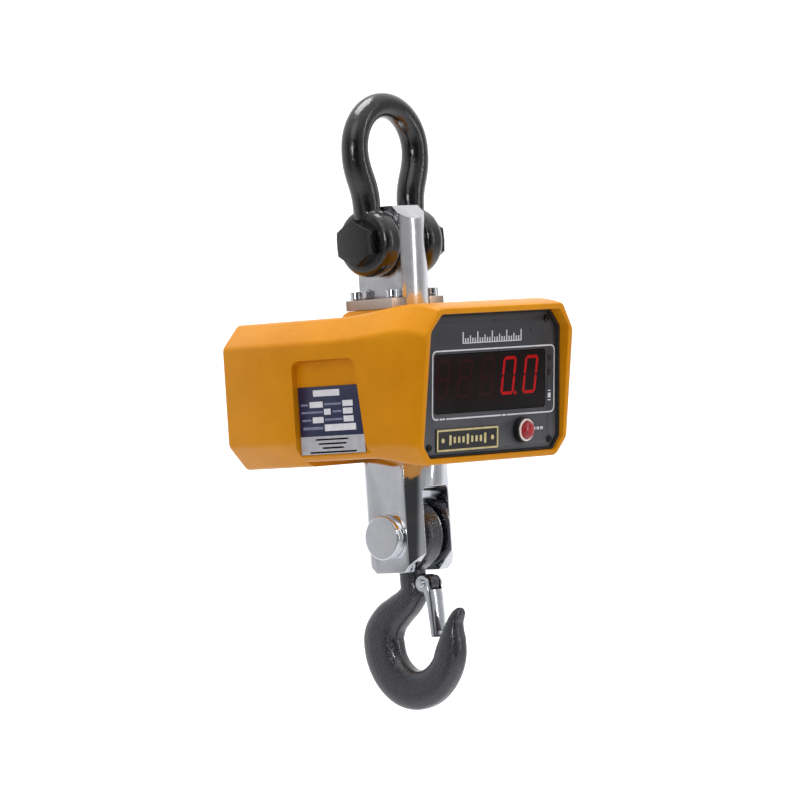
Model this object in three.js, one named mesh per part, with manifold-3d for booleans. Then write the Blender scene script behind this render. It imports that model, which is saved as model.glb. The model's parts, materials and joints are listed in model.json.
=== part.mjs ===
// Hanging crane scale with a bow shackle above and a latched hook below.
// Millimetres. +Z is up, the display faces -Y. The origin is the point inside the shackle's
// crown where the crane's hook bears.
import * as THREE from "three";
import { mergeVertices } from "three/addons/utils/BufferGeometryUtils.js";
import Module from "manifold-3d";

const wasm = await Module();
wasm.setup();

// ---------------------------------------------------------------- driving dimensions
const GAP = 0.3; // running or fitting gap between neighbouring pieces
const ROUND = 24; // sides of a large round

// shackle
const CROWN_R = 36; // centre-line radius of the bow's crown
const BOW_R = 10; // radius of the bow's bar at the crown
const NECK_X = 26.5; // centre line of a limb where the bow is narrowest
const NECK_R = 10.2;
const NECK_Z = -66;
const SHACKLE_PIN_Z = -98;
const EAR_R = 27;
const EAR_IN = 16.1; // inner face of an ear, from the middle plane
const EAR_OUT = 35;
const BOLT_R = 11;
const HEX_R = 18.5; // bolt head and nut, centre to corner
const HEX_T = 11;
const BOLT_END = 53;
const COTTER_X = 49.5;
const COTTER_R = 1.5;

// upper load bar, a round bar with two flats
const BAR_R = 27.5;
const BAR_HALF = 15.7;
const BAR_TOP = -70;
const BAR_CHAMFER = 11;

// collar: two plates whose inner edges lie in grooves across the bar's flats
const COLLAR = { x: 62, y: 48, top: -142.3, t: 7.9, groove: 2 };
const COLLAR_SCREW = { x: 24, y: 18.75, r: 3, head_r: 5, head_t: 6.5, length: 17 };
const PAD = { x: 70, y: 54, top: -150.5, slope: 3.5 };

// housing
const BACK_Y = 106;
const STEP_Y = 34.4; // the rear part ends here, and the label recess starts
const SIDE_X = 89; // half width
const RECESS_X = 83; // half width at the floor of the label recess
const RECESS_TOP = -187;
const RECESS_FRONT = -34.6;
const WALL = 5;
const RIM_TOP = { y: -110, z: -154.5 };
const RIM_TILT = THREE.MathUtils.degToRad(9.2);

// front panel, in its own frame: u to +X, v up along the panel, w out of the panel
const PANEL_TILT = THREE.MathUtils.degToRad(5.5);
const PANEL_ORIGIN = [0, -91.8, -213.7];
const PANEL_T = 3;
const PANEL_OUTLINE = [[69, 54], [81, 40.5], [81.8, -43], [73.5, -53]];
const GASKET = { w: 2, lip: 2.2 };
const LEDGE_OUTLINE = [[58, 50], [74, 30], [74, -32], [60, -50]];
const PANEL_SCREWS = [[68.3, 48.6], [72.5, -46.5]];
const WINDOW = { u0: -66.4, u1: 68.1, v0: -21.7, v1: 24.5, r: 3 };
const DIGIT = { count: 5, last_u: 52.9, pitch: 26.5, v: 5, w: 25.5, h: 38, t: 8 };
const CAPACITY = { u: -27.5, v: -42, w: 74, h: 17.6, t: 1 };
const ZERO = { u: 38.8, v: -38, hole_r: 8, collar_r: 10, collar_t: 5.5, seat: 3.2, ring_r: 9, cap_r: 6.6 };
const INDICATORS = [[73, 16.6], [72.5, 5.3]];
const INDICATOR_R = 2.1;

// rear cover
const REAR_OUTLINE = [[66, -160.5], [80.5, -175], [80.5, -249.5], [66, -264.5]];
const REAR_LEDGE = [[60, -166], [73, -180], [73, -245], [60, -259]];
const REAR_T = 3;
const REAR_SCREWS = [[76.8, -184], [76.8, -241]];
const SWITCH = { x: 38, z: -212, w: 15, h: 21 };
const SOCKET = { x: -38, z: -212, r: 6 };

// lower fork and the hook's pin
const FORK_R = 32.7;
const FORK_HALF = 26.4;
const FORK_TOP = -262.3;
const FORK_BOTTOM = -357.7;
const FORK_FLAT_END = 14.5; // the end's 45 degree chamfers start this far from the middle
const SLOT_HALF = 15;
const SLOT_TOP = -291.4;
const HOOK_PIN_Z = -329.4;
const HOOK_PIN_R = 10;
const PIN_HEAD = { r: 17.5, t: 8 };

// hook: a bar of changing section swept round the bowl
const EYE_R = 28;
const EYE_HALF = 11;
const BOWL = { y: -3, z: -416.5, r: 19.2 };
const LATCH_PIVOT = [-16, -367.3];
const LATCH_PIN_R = 2.5;
const LUG_HALF = 4.4;
const LATCH_HALF = 8.6;
const SHEET = 1.6;
const LATCH_END_Z = -409.5;

const LOAD_CELL = { x: 40, y: 54, top: -170, bottom: -262 };

// ---------------------------------------------------------------- solids
// A closed geometry as a manifold solid.
function solid(geometry, matrix) {
  const bare = new THREE.BufferGeometry();
  const source = geometry.index ? geometry.toNonIndexed() : geometry;
  bare.setAttribute("position", source.getAttribute("position").clone());
  if (matrix) bare.applyMatrix4(matrix);
  const merged = mergeVertices(bare, 1e-4);
  return new wasm.Manifold(
    new wasm.Mesh({
      numProp: 3,
      vertProperties: new Float32Array(merged.attributes.position.array),
      triVerts: new Uint32Array(merged.index.array),
    }),
  );
}

// A manifold solid as a three.js geometry.
function geometryOf(body) {
  const mesh = body.getMesh();
  const geometry = new THREE.BufferGeometry();
  const positions = new Float32Array(mesh.numVert * 3);
  for (let i = 0; i < mesh.numVert; i++) {
    const at = i * mesh.numProp;
    positions.set(mesh.vertProperties.subarray(at, at + 3), i * 3);
  }
  geometry.setAttribute("position", new THREE.BufferAttribute(positions, 3));
  geometry.setIndex(new THREE.BufferAttribute(new Uint32Array(mesh.triVerts), 1));
  const flat = geometry.toNonIndexed();
  flat.computeVertexNormals();
  return flat;
}

function move(x, y, z) {
  return new THREE.Matrix4().makeTranslation(x, y, z);
}

function block(x0, x1, y0, y1, z0, z1) {
  const geometry = new THREE.BoxGeometry(x1 - x0, y1 - y0, z1 - z0);
  return solid(geometry, move((x0 + x1) / 2, (y0 + y1) / 2, (z0 + z1) / 2));
}

// A cylinder from a to b along one axis, through the point at, whose coordinate on that axis is unused.
function rod(axis, radius, a, b, at, sides = ROUND) {
  const geometry = new THREE.CylinderGeometry(radius, radius, b - a, sides);
  if (axis === "x") geometry.rotateZ(-Math.PI / 2);
  if (axis === "z") geometry.rotateX(Math.PI / 2);
  const centre = [...at];
  centre["xyz".indexOf(axis)] = (a + b) / 2;
  return solid(geometry, move(...centre));
}

// A solid of revolution about a line along X through (y, z). The profile lists [x, radius].
function turnedX(profile, y, z, sides = ROUND) {
  const points = profile.map(([x, radius]) => new THREE.Vector2(radius, x));
  const geometry = new THREE.LatheGeometry(points, sides);
  geometry.rotateZ(-Math.PI / 2);
  return upright(solid(geometry, move(0, y, z)));
}

// A solid of revolution about the local Z axis. The profile lists [z, radius].
function turnedZ(profile, sides = 12) {
  const points = profile.map(([z, radius]) => new THREE.Vector2(radius, z));
  const geometry = new THREE.LatheGeometry(points, sides);
  geometry.rotateX(Math.PI / 2);
  return upright(solid(geometry));
}

// Turns a solid whose faces point inwards right side out.
function upright(body) {
  if (body.volume() > 0) return body;
  const mesh = body.getMesh();
  const triVerts = new Uint32Array(mesh.triVerts);
  for (let i = 0; i < triVerts.length; i += 3) {
    [triVerts[i + 1], triVerts[i + 2]] = [triVerts[i + 2], triVerts[i + 1]];
  }
  const vertProperties = new Float32Array(mesh.vertProperties);
  return new wasm.Manifold(new wasm.Mesh({ numProp: 3, vertProperties, triVerts }));
}

// Joins rings of equally many points into a closed skin with flat end caps.
function loft(rings) {
  const positions = [];
  const index = [];
  const count = rings[0].length;
  rings.forEach((ring) => ring.forEach((p) => positions.push(p[0], p[1], p[2])));
  const at = (ring, i) => ring * count + (i % count);
  for (let ring = 0; ring + 1 < rings.length; ring++) {
    for (let i = 0; i < count; i++) {
      index.push(at(ring, i), at(ring, i + 1), at(ring + 1, i + 1));
      index.push(at(ring, i), at(ring + 1, i + 1), at(ring + 1, i));
    }
  }
  const last = rings.length - 1;
  for (let i = 1; i + 1 < count; i++) {
    index.push(at(0, 0), at(0, i + 1), at(0, i));
    index.push(at(last, 0), at(last, i), at(last, i + 1));
  }
  const geometry = new THREE.BufferGeometry();
  geometry.setAttribute("position", new THREE.Float32BufferAttribute(positions, 3));
  geometry.setIndex(index);
  return upright(solid(geometry));
}

// Sweeps a rounded section along stations in a plane. Each station is [a, b, inPlane, across]:
// the centre's two coordinates in the plane and the section's two half sizes.
function sweep(stations, place, sides) {
  const rings = stations.map(([a, b, inPlane, across], i) => {
    const before = stations[Math.max(i - 1, 0)];
    const after = stations[Math.min(i + 1, stations.length - 1)];
    const heading = Math.atan2(after[1] - before[1], after[0] - before[0]);
    const ring = [];
    for (let k = 0; k < sides; k++) {
      const angle = (2 * Math.PI * k) / sides;
      const offset = inPlane * Math.cos(angle);
      const side = across * Math.sin(angle);
      ring.push(place(a - offset * Math.sin(heading), b + offset * Math.cos(heading), side));
    }
    return ring;
  });
  return loft(rings);
}

// An outline in a plane, extruded. The points are [u, v] and the depth runs from w0 to w1 along local Z.
function plateOf(outline, w0, w1, holes = []) {
  const shape = new THREE.Shape(outline.map(([u, v]) => new THREE.Vector2(u, v)));
  shape.holes = holes;
  const geometry = new THREE.ExtrudeGeometry(shape, {
    depth: w1 - w0,
    bevelEnabled: false,
    curveSegments: 6,
  });
  return upright(solid(geometry, move(0, 0, w0)));
}

// The right half of an outline, top to bottom, closed with its mirror image.
function mirrored(half) {
  return [...half, ...half.map(([u, v]) => [-u, v]).reverse()];
}

function grown(half, by) {
  const middle = (half[0][1] + half[half.length - 1][1]) / 2;
  return half.map(([u, v]) => [u + by, v + Math.sign(v - middle) * by]);
}

function roundedRectangle(u0, u1, v0, v1, radius) {
  const shape = new THREE.Shape();
  shape.moveTo(u0 + radius, v0);
  shape.lineTo(u1 - radius, v0);
  shape.absarc(u1 - radius, v0 + radius, radius, -Math.PI / 2, 0);
  shape.lineTo(u1, v1 - radius);
  shape.absarc(u1 - radius, v1 - radius, radius, 0, Math.PI / 2);
  shape.lineTo(u0 + radius, v1);
  shape.absarc(u0 + radius, v1 - radius, radius, Math.PI / 2, Math.PI);
  shape.lineTo(u0, v0 + radius);
  shape.absarc(u0 + radius, v0 + radius, radius, Math.PI, 1.5 * Math.PI);
  return shape.getPoints(4).slice(0, -1).map((p) => [p.x, p.y]);
}

// ---------------------------------------------------------------- scene graph
const scale = new THREE.Group();
scale.name = "crane_scale";
const front = new THREE.Group();
front.position.set(...PANEL_ORIGIN);
front.rotation.x = Math.PI / 2 + PANEL_TILT;
scale.add(front);

const FINISH = {
  black_paint: [0x1b1c20, 0.28, 0.0],
  chrome: [0xb9bcc4, 0.12, 1.0],
  steel: [0xa59b93, 0.45, 0.9],
  black_steel: [0x26262a, 0.4, 0.6],
  orange_paint: [0xe0922a, 0.42, 0.0],
  panel_grey: [0x45464b, 0.5, 0.1],
  dark_red: [0x1c0a0c, 0.08, 0.0],
  digit: [0x3a0d10, 0.5, 0.0],
  board: [0x1f5a35, 0.55, 0.0],
  battery: [0x2a2c31, 0.6, 0.0],
  gold_plate: [0x8b7a3c, 0.35, 0.6],
  black_plastic: [0x141416, 0.45, 0.0],
  white_plastic: [0xd8cfc9, 0.35, 0.0],
  red_plastic: [0xb01020, 0.25, 0.0],
  label: [0x22263f, 0.45, 0.0],
  hook_paint: [0x3c3c42, 0.5, 0.2],
  zinc: [0xb4bac0, 0.3, 0.9],
  rubber: [0x202020, 0.8, 0.0],
  cell: [0x8d9096, 0.4, 0.9],
};

function add(name, body, finish, group = scale) {
  const [color, roughness, metalness] = FINISH[finish];
  const material = new THREE.MeshStandardMaterial({ color, roughness, metalness });
  const mesh = new THREE.Mesh(geometryOf(body), material);
  mesh.name = name;
  group.add(mesh);
}

// ---------------------------------------------------------------- shackle
const LIMB_STEPS = 6;

function bowStations() {
  const stations = [];
  const crownZ = BOW_R - CROWN_R;
  const crownSteps = 12;
  const limb = new THREE.CubicBezierCurve(
    new THREE.Vector2(NECK_X, NECK_Z),
    new THREE.Vector2(NECK_X + 1, NECK_Z + 16),
    new THREE.Vector2(CROWN_R, crownZ - 18),
    new THREE.Vector2(CROWN_R, crownZ),
  ).getPoints(LIMB_STEPS);
  stations.push([NECK_X - 1, SHACKLE_PIN_Z, 8, 9]);
  stations.push([NECK_X - 0.6, SHACKLE_PIN_Z + 16, 8.8, 9.6]);
  limb.slice(0, -1).forEach((p, i) => {
    const radius = THREE.MathUtils.lerp(NECK_R, BOW_R, i / LIMB_STEPS);
    stations.push([p.x, p.y, radius, radius]);
  });
  for (let i = 0; i <= crownSteps; i++) {
    const angle = (Math.PI * i) / crownSteps;
    stations.push([CROWN_R * Math.cos(angle), crownZ + CROWN_R * Math.sin(angle), BOW_R, BOW_R]);
  }
  const left = stations.slice(0, LIMB_STEPS + 2).reverse();
  left.forEach(([x, z, a, b]) => stations.push([-x, z, a, b]));
  return stations;
}

function earProfile() {
  const profile = [[EAR_IN, 0], [EAR_IN, EAR_R - 5]];
  const corners = [[EAR_IN + 5, 5, 150], [EAR_OUT - 8, 8, 90]];
  corners.forEach(([x, r, from]) => {
    for (let i = 0; i <= (from > 90 ? 2 : 3); i++) {
      const angle = THREE.MathUtils.degToRad(from - 30 * i);
      profile.push([x + r * Math.cos(angle), EAR_R - r + r * Math.sin(angle)]);
    }
  });
  profile.push([EAR_OUT, 0]);
  return profile;
}

function shackleBow() {
  let body = sweep(bowStations(), (x, z, y) => [x, y, z], 14);
  const ear = earProfile();
  body = body.add(turnedX(ear, 0, SHACKLE_PIN_Z));
  body = body.add(turnedX(ear.map(([x, r]) => [-x, r]), 0, SHACKLE_PIN_Z));
  const tongue = block(-EAR_IN, EAR_IN, -40, 40, SHACKLE_PIN_Z - 40, SHACKLE_PIN_Z + 33);
  const bore = rod("x", BOLT_R + GAP, -60, 60, [0, 0, SHACKLE_PIN_Z]);
  return body.subtract(tongue).subtract(bore);
}

function hexagon(x0, x1) {
  const geometry = new THREE.CylinderGeometry(HEX_R, HEX_R, x1 - x0, 6);
  geometry.rotateZ(-Math.PI / 2);
  return solid(geometry, move((x0 + x1) / 2, 0, SHACKLE_PIN_Z));
}

// The corners of a hexagon's outer face, turned to a cone.
function hexCone(x0, x1) {
  const flat = HEX_R * Math.cos(Math.PI / 6);
  const outward = Math.sign(x1 - x0);
  const profile = [[x0, 0], [x0, HEX_R + 1], [x1 - outward * 2, HEX_R + 1]];
  profile.push([x1, flat - 0.6], [x1, 0]);
  return turnedX(profile, 0, SHACKLE_PIN_Z);
}

function shackleBolt() {
  const inner = -EAR_OUT - GAP;
  const outer = inner - HEX_T;
  const head = hexagon(outer, inner).intersect(hexCone(inner, outer));
  const shank = turnedX(
    [[inner - 1, 0], [inner - 1, BOLT_R], [BOLT_END - 1.5, BOLT_R], [BOLT_END, BOLT_R - 1.5], [BOLT_END, 0]],
    0,
    SHACKLE_PIN_Z,
  );
  const height = [SHACKLE_PIN_Z - 20, SHACKLE_PIN_Z + 20];
  const pinHole = rod("z", COTTER_R + GAP, ...height, [COTTER_X, 0, 0], 12);
  return head.add(shank).subtract(pinHole);
}

function shackleNut() {
  const inner = EAR_OUT + GAP;
  const outer = inner + HEX_T;
  const bore = rod("x", BOLT_R + GAP, inner - 1, outer + 1, [0, 0, SHACKLE_PIN_Z]);
  return hexagon(inner, outer).intersect(hexCone(inner, outer)).subtract(bore);
}

// Cotter pin: an eye above the bolt and one leg bent over below it.
function cotterPin() {
  const z = SHACKLE_PIN_Z;
  const path = [[0, z + 13.5], [0, z - 13], [1.5, z - 15], [7, z - 16]];
  const stations = path.map(([y, h]) => [y, h, COTTER_R, COTTER_R]);
  const leg = sweep(stations, (y, h, x) => [COTTER_X + x, y, h], 8);
  const eye = turnedX([[-1.5, 2], [1.5, 2], [1.5, 4.5], [-1.5, 4.5], [-1.5, 2]], 0, z + 16, 16);
  return leg.add(eye.translate([COTTER_X, 0, 0]));
}

// ---------------------------------------------------------------- load path
function flattedBar(radius, half, z0, z1) {
  const bar = rod("z", radius, z0, z1, [0, 0, 0], 48);
  return bar.intersect(block(-half, half, -60, 60, z0 - 1, z1 + 1));
}

// Wedges that cut both end edges of a bar, front and back, at 45 degrees from the flat part of its end.
function endChamfers(body, flat, z, up) {
  const reach = 40;
  const wedge = new THREE.Shape([
    new THREE.Vector2(flat, 0),
    new THREE.Vector2(flat + reach, -reach),
    new THREE.Vector2(flat + reach, 1),
    new THREE.Vector2(flat - 1, 1),
  ]);
  const geometry = new THREE.ExtrudeGeometry(wedge, { depth: 120, bevelEnabled: false });
  const swap = new THREE.Matrix4().makeBasis(
    new THREE.Vector3(0, 1, 0),
    new THREE.Vector3(0, 0, 1),
    new THREE.Vector3(1, 0, 0),
  );
  geometry.translate(0, 0, -60);
  geometry.applyMatrix4(swap);
  let cut = body;
  [1, -1].forEach((side) => {
    const matrix = move(0, 0, z).multiply(new THREE.Matrix4().makeScale(1, side, up));
    cut = cut.subtract(upright(solid(geometry, matrix)));
  });
  return cut;
}

function loadBar() {
  const bottom = LOAD_CELL.top + GAP;
  const blank = flattedBar(BAR_R, BAR_HALF, bottom, BAR_TOP);
  const bar = endChamfers(blank, BAR_R - BAR_CHAMFER, BAR_TOP, 1);
  const floor = BAR_HALF - COLLAR.groove;
  const grooves = [-1, 1].map((side) => {
    const edges = [side * floor, side * (BAR_HALF + 5)].sort((a, b) => a - b);
    return block(...edges, -60, 60, COLLAR.top - COLLAR.t - GAP, COLLAR.top + GAP);
  });
  return bar
    .subtract(grooves[0])
    .subtract(grooves[1])
    .subtract(rod("x", BOLT_R + GAP, -60, 60, [0, 0, SHACKLE_PIN_Z]));
}

function eachCorner(x, y, act) {
  let number = 1;
  [-1, 1].forEach((sx) => {
    [-1, 1].forEach((sy) => {
      act(sx * x, sy * y, number);
      number += 1;
    });
  });
}

// One collar plate, on the side given by the sign.
function collarPlate(side) {
  const bottom = COLLAR.top - COLLAR.t;
  const edges = [side * (BAR_HALF - COLLAR.groove + GAP), (side * COLLAR.x) / 2];
  edges.sort((a, b) => a - b);
  let body = block(...edges, -COLLAR.y / 2, COLLAR.y / 2, bottom, COLLAR.top);
  [-1, 1].forEach((sy) => {
    const at = [side * COLLAR_SCREW.x, sy * COLLAR_SCREW.y, 0];
    body = body.subtract(rod("z", COLLAR_SCREW.r + GAP, bottom - 1, COLLAR.top + 1, at, 12));
  });
  return body;
}

// Socket head cap screw, head up, with a hexagon recess. Its seat is at local z = 0.
function capScrew() {
  const { r, head_r, head_t, length } = COLLAR_SCREW;
  const profile = [[-length, 0], [-length, r], [0, r], [0, head_r], [head_t - 0.6, head_r]];
  profile.push([head_t, head_r - 0.6], [head_t, 0]);
  const socket = new THREE.CylinderGeometry(2.9, 2.9, 4, 6);
  socket.rotateX(Math.PI / 2);
  return turnedZ(profile).subtract(solid(socket, move(0, 0, head_t - 1.4)));
}

// Pan head screw. Its seat is at local z = 0.
function panScrew(r, head_r, head_t, length) {
  const profile = [[-length, 0], [-length, r], [0, r], [0, head_r], [head_t * 0.5, head_r]];
  profile.push([head_t, head_r * 0.6], [head_t, 0]);
  return turnedZ(profile, 10);
}

// Measuring body between the bar and the fork, with two cross bores that leave thin bending webs.
function loadCell() {
  const { x, y, top, bottom } = LOAD_CELL;
  let body = block(-x / 2, x / 2, -y / 2, y / 2, bottom, top);
  const middle = (top + bottom) / 2;
  [-14, 14].forEach((dy) => {
    body = body.subtract(rod("x", 9, -x, x, [0, dy, middle], 20));
  });
  return body.subtract(block(-x, x, -14, 14, middle - 2, middle + 2));
}

function hookFork() {
  let body = flattedBar(FORK_R, FORK_HALF, FORK_BOTTOM, FORK_TOP);
  body = endChamfers(body, FORK_FLAT_END, FORK_BOTTOM, -1);
  const slot = roundedRectangle(-SLOT_HALF, SLOT_HALF, FORK_BOTTOM - 20, SLOT_TOP, 4.5);
  const along = new THREE.Matrix4().makeRotationX(Math.PI / 2);
  body = body.subtract(plateOf(slot, -60, 60).transform(along.elements));
  return body.subtract(rod("x", HOOK_PIN_R + GAP, -60, 60, [0, 0, HOOK_PIN_Z]));
}

function hookPin() {
  const inner = -FORK_HALF - GAP;
  const outer = inner - PIN_HEAD.t;
  const end = FORK_HALF + 7;
  const groove = FORK_HALF + 3.1;
  const profile = [[outer, 0], [outer, PIN_HEAD.r - 1.5], [outer + 1.5, PIN_HEAD.r]];
  profile.push([inner, PIN_HEAD.r], [inner, HOOK_PIN_R], [groove, HOOK_PIN_R], [groove, HOOK_PIN_R - 1.5]);
  profile.push([groove + 1.8, HOOK_PIN_R - 1.5], [groove + 1.8, HOOK_PIN_R], [end - 1, HOOK_PIN_R]);
  profile.push([end, HOOK_PIN_R - 1], [end, 0]);
  return turnedX(profile, 0, HOOK_PIN_Z);
}

function ringX(x0, x1, inner, outer) {
  return turnedX([[x0, inner], [x1, inner], [x1, outer], [x0, outer], [x0, inner]], 0, HOOK_PIN_Z, 24);
}

// An open ring that snaps into the pin's groove.
function retainingRing() {
  const x = FORK_HALF + 3.4;
  return ringX(x, x + 1.2, HOOK_PIN_R - 1.2, HOOK_PIN_R + 3.2).subtract(
    block(x - 1, x + 3, -3, 3, HOOK_PIN_Z, HOOK_PIN_Z + 20),
  );
}

// ---------------------------------------------------------------- housing
// Sections along Y: [y, top half width, top, upper edge, lower edge, bottom half width, bottom]
const SECTIONS = [
  [BACK_Y, 70, -155.3, -173.2, -250.7, 70, -270],
  [STEP_Y + 0.6, 70, -155.3, -173.2, -250.7, 70, -270],
  [STEP_Y, 70, -155.3, -173.2, -256, 79, -266],
  [-6.6, 70, -155.2, -173.4, -256, 79, -266],
  [-20.6, 70, -154.2, -173.0, -256, 79, -266],
  [-34.6, 70.3, -152.9, -172.3, -255.7, 78.5, -266.2],
  [-49.6, 71, -151.2, -171.2, -255.2, 77.7, -267.7],
  [-64.6, 72, -149.7, -169.8, -255.6, 77.2, -271],
  [-78.6, 73, -149.1, -169.4, -257.2, 77, -273.3],
  [-88, 73.7, -149.4, -170.2, -259, 77.2, -273.6],
  [-96.5, 74.2, -150.6, -172, -260.6, 77.4, -273.2],
  [-105, 74.6, -152.9, -174.6, -261.4, 77.5, -272.9],
  [-117, 75, -156.4, -178.4, -261.6, 77.5, -272.9],
];
const EDGE = 3; // the small round on each long edge

// The section's outline, with each of its eight corners cut to two points.
function sectionRing([y, topX, top, upper, lower, bottomX, bottom]) {
  const right = [[topX, top], [SIDE_X, upper], [SIDE_X, lower], [bottomX, bottom]];
  const corners = [...right, ...right.map(([x, z]) => [-x, z]).reverse()];
  const ring = [];
  corners.forEach(([x, z], i) => {
    const before = corners[(i + 7) % 8];
    const after = corners[(i + 1) % 8];
    [before, after].forEach(([nx, nz]) => {
      const length = Math.hypot(nx - x, nz - z);
      ring.push([x + ((nx - x) * EDGE) / length, y, z + ((nz - z) * EDGE) / length]);
    });
  });
  return ring;
}

// The plain octagon a wall's thickness inside a section, with its sides moved in by narrow.
function innerRing([y, topX, top, upper, lower, bottomX, bottom], narrow) {
  const x = SIDE_X - WALL - narrow;
  const right = [
    [topX - WALL - narrow / 2, top - WALL],
    [x, upper - WALL / 2],
    [x, lower + WALL / 2],
    [bottomX - WALL - narrow / 2, bottom + WALL],
  ];
  return [...right, ...right.map(([rx, z]) => [-rx, z]).reverse()].map(([rx, z]) => [rx, y, z]);
}

// The recess for the label: its outline from the side, cut through the lower edge.
function labelRecess(side) {
  const shape = new THREE.Shape();
  const radius = 8;
  shape.moveTo(STEP_Y, -300);
  shape.lineTo(STEP_Y, RECESS_TOP - radius);
  shape.absarc(STEP_Y - radius, RECESS_TOP - radius, radius, 0, Math.PI / 2);
  shape.lineTo(RECESS_FRONT + 4 + radius, RECESS_TOP);
  shape.absarc(RECESS_FRONT + 4 + radius, RECESS_TOP - radius, radius, Math.PI / 2, Math.PI);
  shape.lineTo(RECESS_FRONT - 4, -262);
  shape.lineTo(RECESS_FRONT - 4, -300);
  const geometry = new THREE.ExtrudeGeometry(shape, {
    depth: 20,
    bevelEnabled: false,
    curveSegments: 5,
  });
  const basis = new THREE.Matrix4().makeBasis(
    new THREE.Vector3(0, 1, 0),
    new THREE.Vector3(0, 0, 1),
    new THREE.Vector3(1, 0, 0),
  );
  geometry.applyMatrix4(basis);
  const x = side > 0 ? RECESS_X : -RECESS_X - 20;
  return upright(solid(geometry, move(x, 0, 0)));
}

// Everything in front of the rim's plane.
function rimCutter() {
  const geometry = new THREE.BoxGeometry(300, 300, 100);
  geometry.translate(0, 0, 50);
  const turn = new THREE.Matrix4().makeRotationX(Math.PI / 2 + RIM_TILT);
  return solid(geometry, move(0, RIM_TOP.y, RIM_TOP.z).multiply(turn));
}

// A prism in the front panel's frame.
function panelPrism(outline, w0, w1) {
  const turn = new THREE.Matrix4().makeRotationX(Math.PI / 2 + PANEL_TILT);
  const place = move(...PANEL_ORIGIN).multiply(turn);
  return plateOf(outline, w0, w1).transform(place.elements);
}

// The same for a plate in the rear cover's plane, from y0 to y1.
function rearPrism(half, y0, y1) {
  const turn = new THREE.Matrix4().makeRotationX(Math.PI / 2);
  return plateOf(mirrored(half), -y1, -y0).transform(turn.elements);
}

function padSolid() {
  const ring = (grow, z) => {
    const x = PAD.x / 2 + grow;
    const y = PAD.y / 2 + grow;
    return [[x, y, z], [-x, y, z], [-x, -y, z], [x, -y, z]];
  };
  return loft([ring(0.6 * PAD.slope, -158), ring(0, -155.2), ring(-PAD.slope, PAD.top)]);
}

// The hollow between the two end openings. It narrows beside the label recess.
function housingCavity() {
  const rear = SECTIONS[0];
  const narrow = SIDE_X - RECESS_X;
  const rings = [BACK_Y - 12, STEP_Y + 6].map((y) => innerRing([y, ...rear.slice(1)], 0));
  SECTIONS.filter(([y]) => y <= STEP_Y && y > -80).forEach((section) => {
    rings.push(innerRing(section, narrow));
  });
  return loft(rings);
}

function housing() {
  let body = loft(SECTIONS.map((section) => sectionRing(section)));
  body = body.add(padSolid());
  body = body.subtract(rimCutter());
  body = body.subtract(labelRecess(1)).subtract(labelRecess(-1));
  body = body.subtract(housingCavity());
  // front: the panel's seat and the opening behind it
  body = body.subtract(panelPrism(mirrored(grown(PANEL_OUTLINE, GASKET.w)), -PANEL_T - GAP, 40));
  body = body.subtract(panelPrism(mirrored(LEDGE_OUTLINE), -45, 0));
  PANEL_SCREWS.forEach(([u, v]) => {
    [-u, u].forEach((at) => {
      body = body.subtract(panelPrism(roundedHole(at, v, 1.5 + GAP), -12, 0));
    });
  });
  // back: the cover's seat, the opening behind it and the screw holes
  body = body.subtract(rearPrism(grown(REAR_OUTLINE, 0.4), BACK_Y - REAR_T - 1, BACK_Y + 5));
  body = body.subtract(rearPrism(REAR_LEDGE, BACK_Y - 20, BACK_Y));
  REAR_SCREWS.forEach(([x, z]) => {
    [-x, x].forEach((at) => {
      body = body.subtract(rod("y", 1.5 + GAP, BACK_Y - 11.5, BACK_Y, [at, 0, z], 12));
    });
  });
  // top: the bar's hole and four screw holes; bottom: the seal's hole
  body = body.subtract(flattedBar(BAR_R + 1, BAR_HALF + 1, -175, -140));
  eachCorner(COLLAR_SCREW.x, COLLAR_SCREW.y, (x, y) => {
    body = body.subtract(rod("z", COLLAR_SCREW.r + GAP, -175, -140, [x, y, 0], 16));
  });
  return body.subtract(flattedBar(FORK_R + 4, FORK_HALF + 4, -280, -255));
}

function roundedHole(u, v, radius, sides = 12) {
  const points = [];
  for (let i = 0; i < sides; i++) {
    const angle = (2 * Math.PI * i) / sides;
    points.push([u + radius * Math.cos(angle), v + radius * Math.sin(angle)]);
  }
  return points;
}

function forkSeal() {
  const outer = flattedBar(FORK_R + 4 - GAP, FORK_HALF + 4 - GAP, -267.5, -262.6);
  return outer.subtract(flattedBar(FORK_R + GAP, FORK_HALF + GAP, -280, -250));
}

function labelPlate() {
  const x = -RECESS_X - GAP;
  const outline = [[33.4, -207.7], [-31, -207.7], [-33.4, -260.5], [33.4, -260.5]];
  return loft([x - 0.5, x].map((at) => outline.map(([y, z]) => [at, y, z])));
}

function rearCover() {
  const y0 = BACK_Y - REAR_T - 1 + GAP;
  const y1 = y0 + REAR_T;
  let body = rearPrism(REAR_OUTLINE, y0, y1);
  REAR_SCREWS.forEach(([x, z]) => {
    [-x, x].forEach((at) => {
      body = body.subtract(rod("y", 1.5 + GAP, y0 - 1, y1 + 1, [at, 0, z], 12));
    });
  });
  const { x, z, w, h } = SWITCH;
  body = body.subtract(block(x - w / 2 + 1, x + w / 2 - 1, y0 - 1, y1 + 1, z - h / 2 + 1, z + h / 2 - 1));
  return body.subtract(rod("y", SOCKET.r, y0 - 1, y1 + 1, [SOCKET.x, 0, SOCKET.z], 20));
}

const REAR_FACE = BACK_Y - 1 + GAP;

function chargeSocket() {
  const at = [SOCKET.x, 0, SOCKET.z];
  const flange = rod("y", SOCKET.r + 3, REAR_FACE + GAP, REAR_FACE + 1.8, at, 20);
  return flange.add(rod("y", SOCKET.r - GAP, REAR_FACE - 14, REAR_FACE + 1, at, 20));
}

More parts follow.
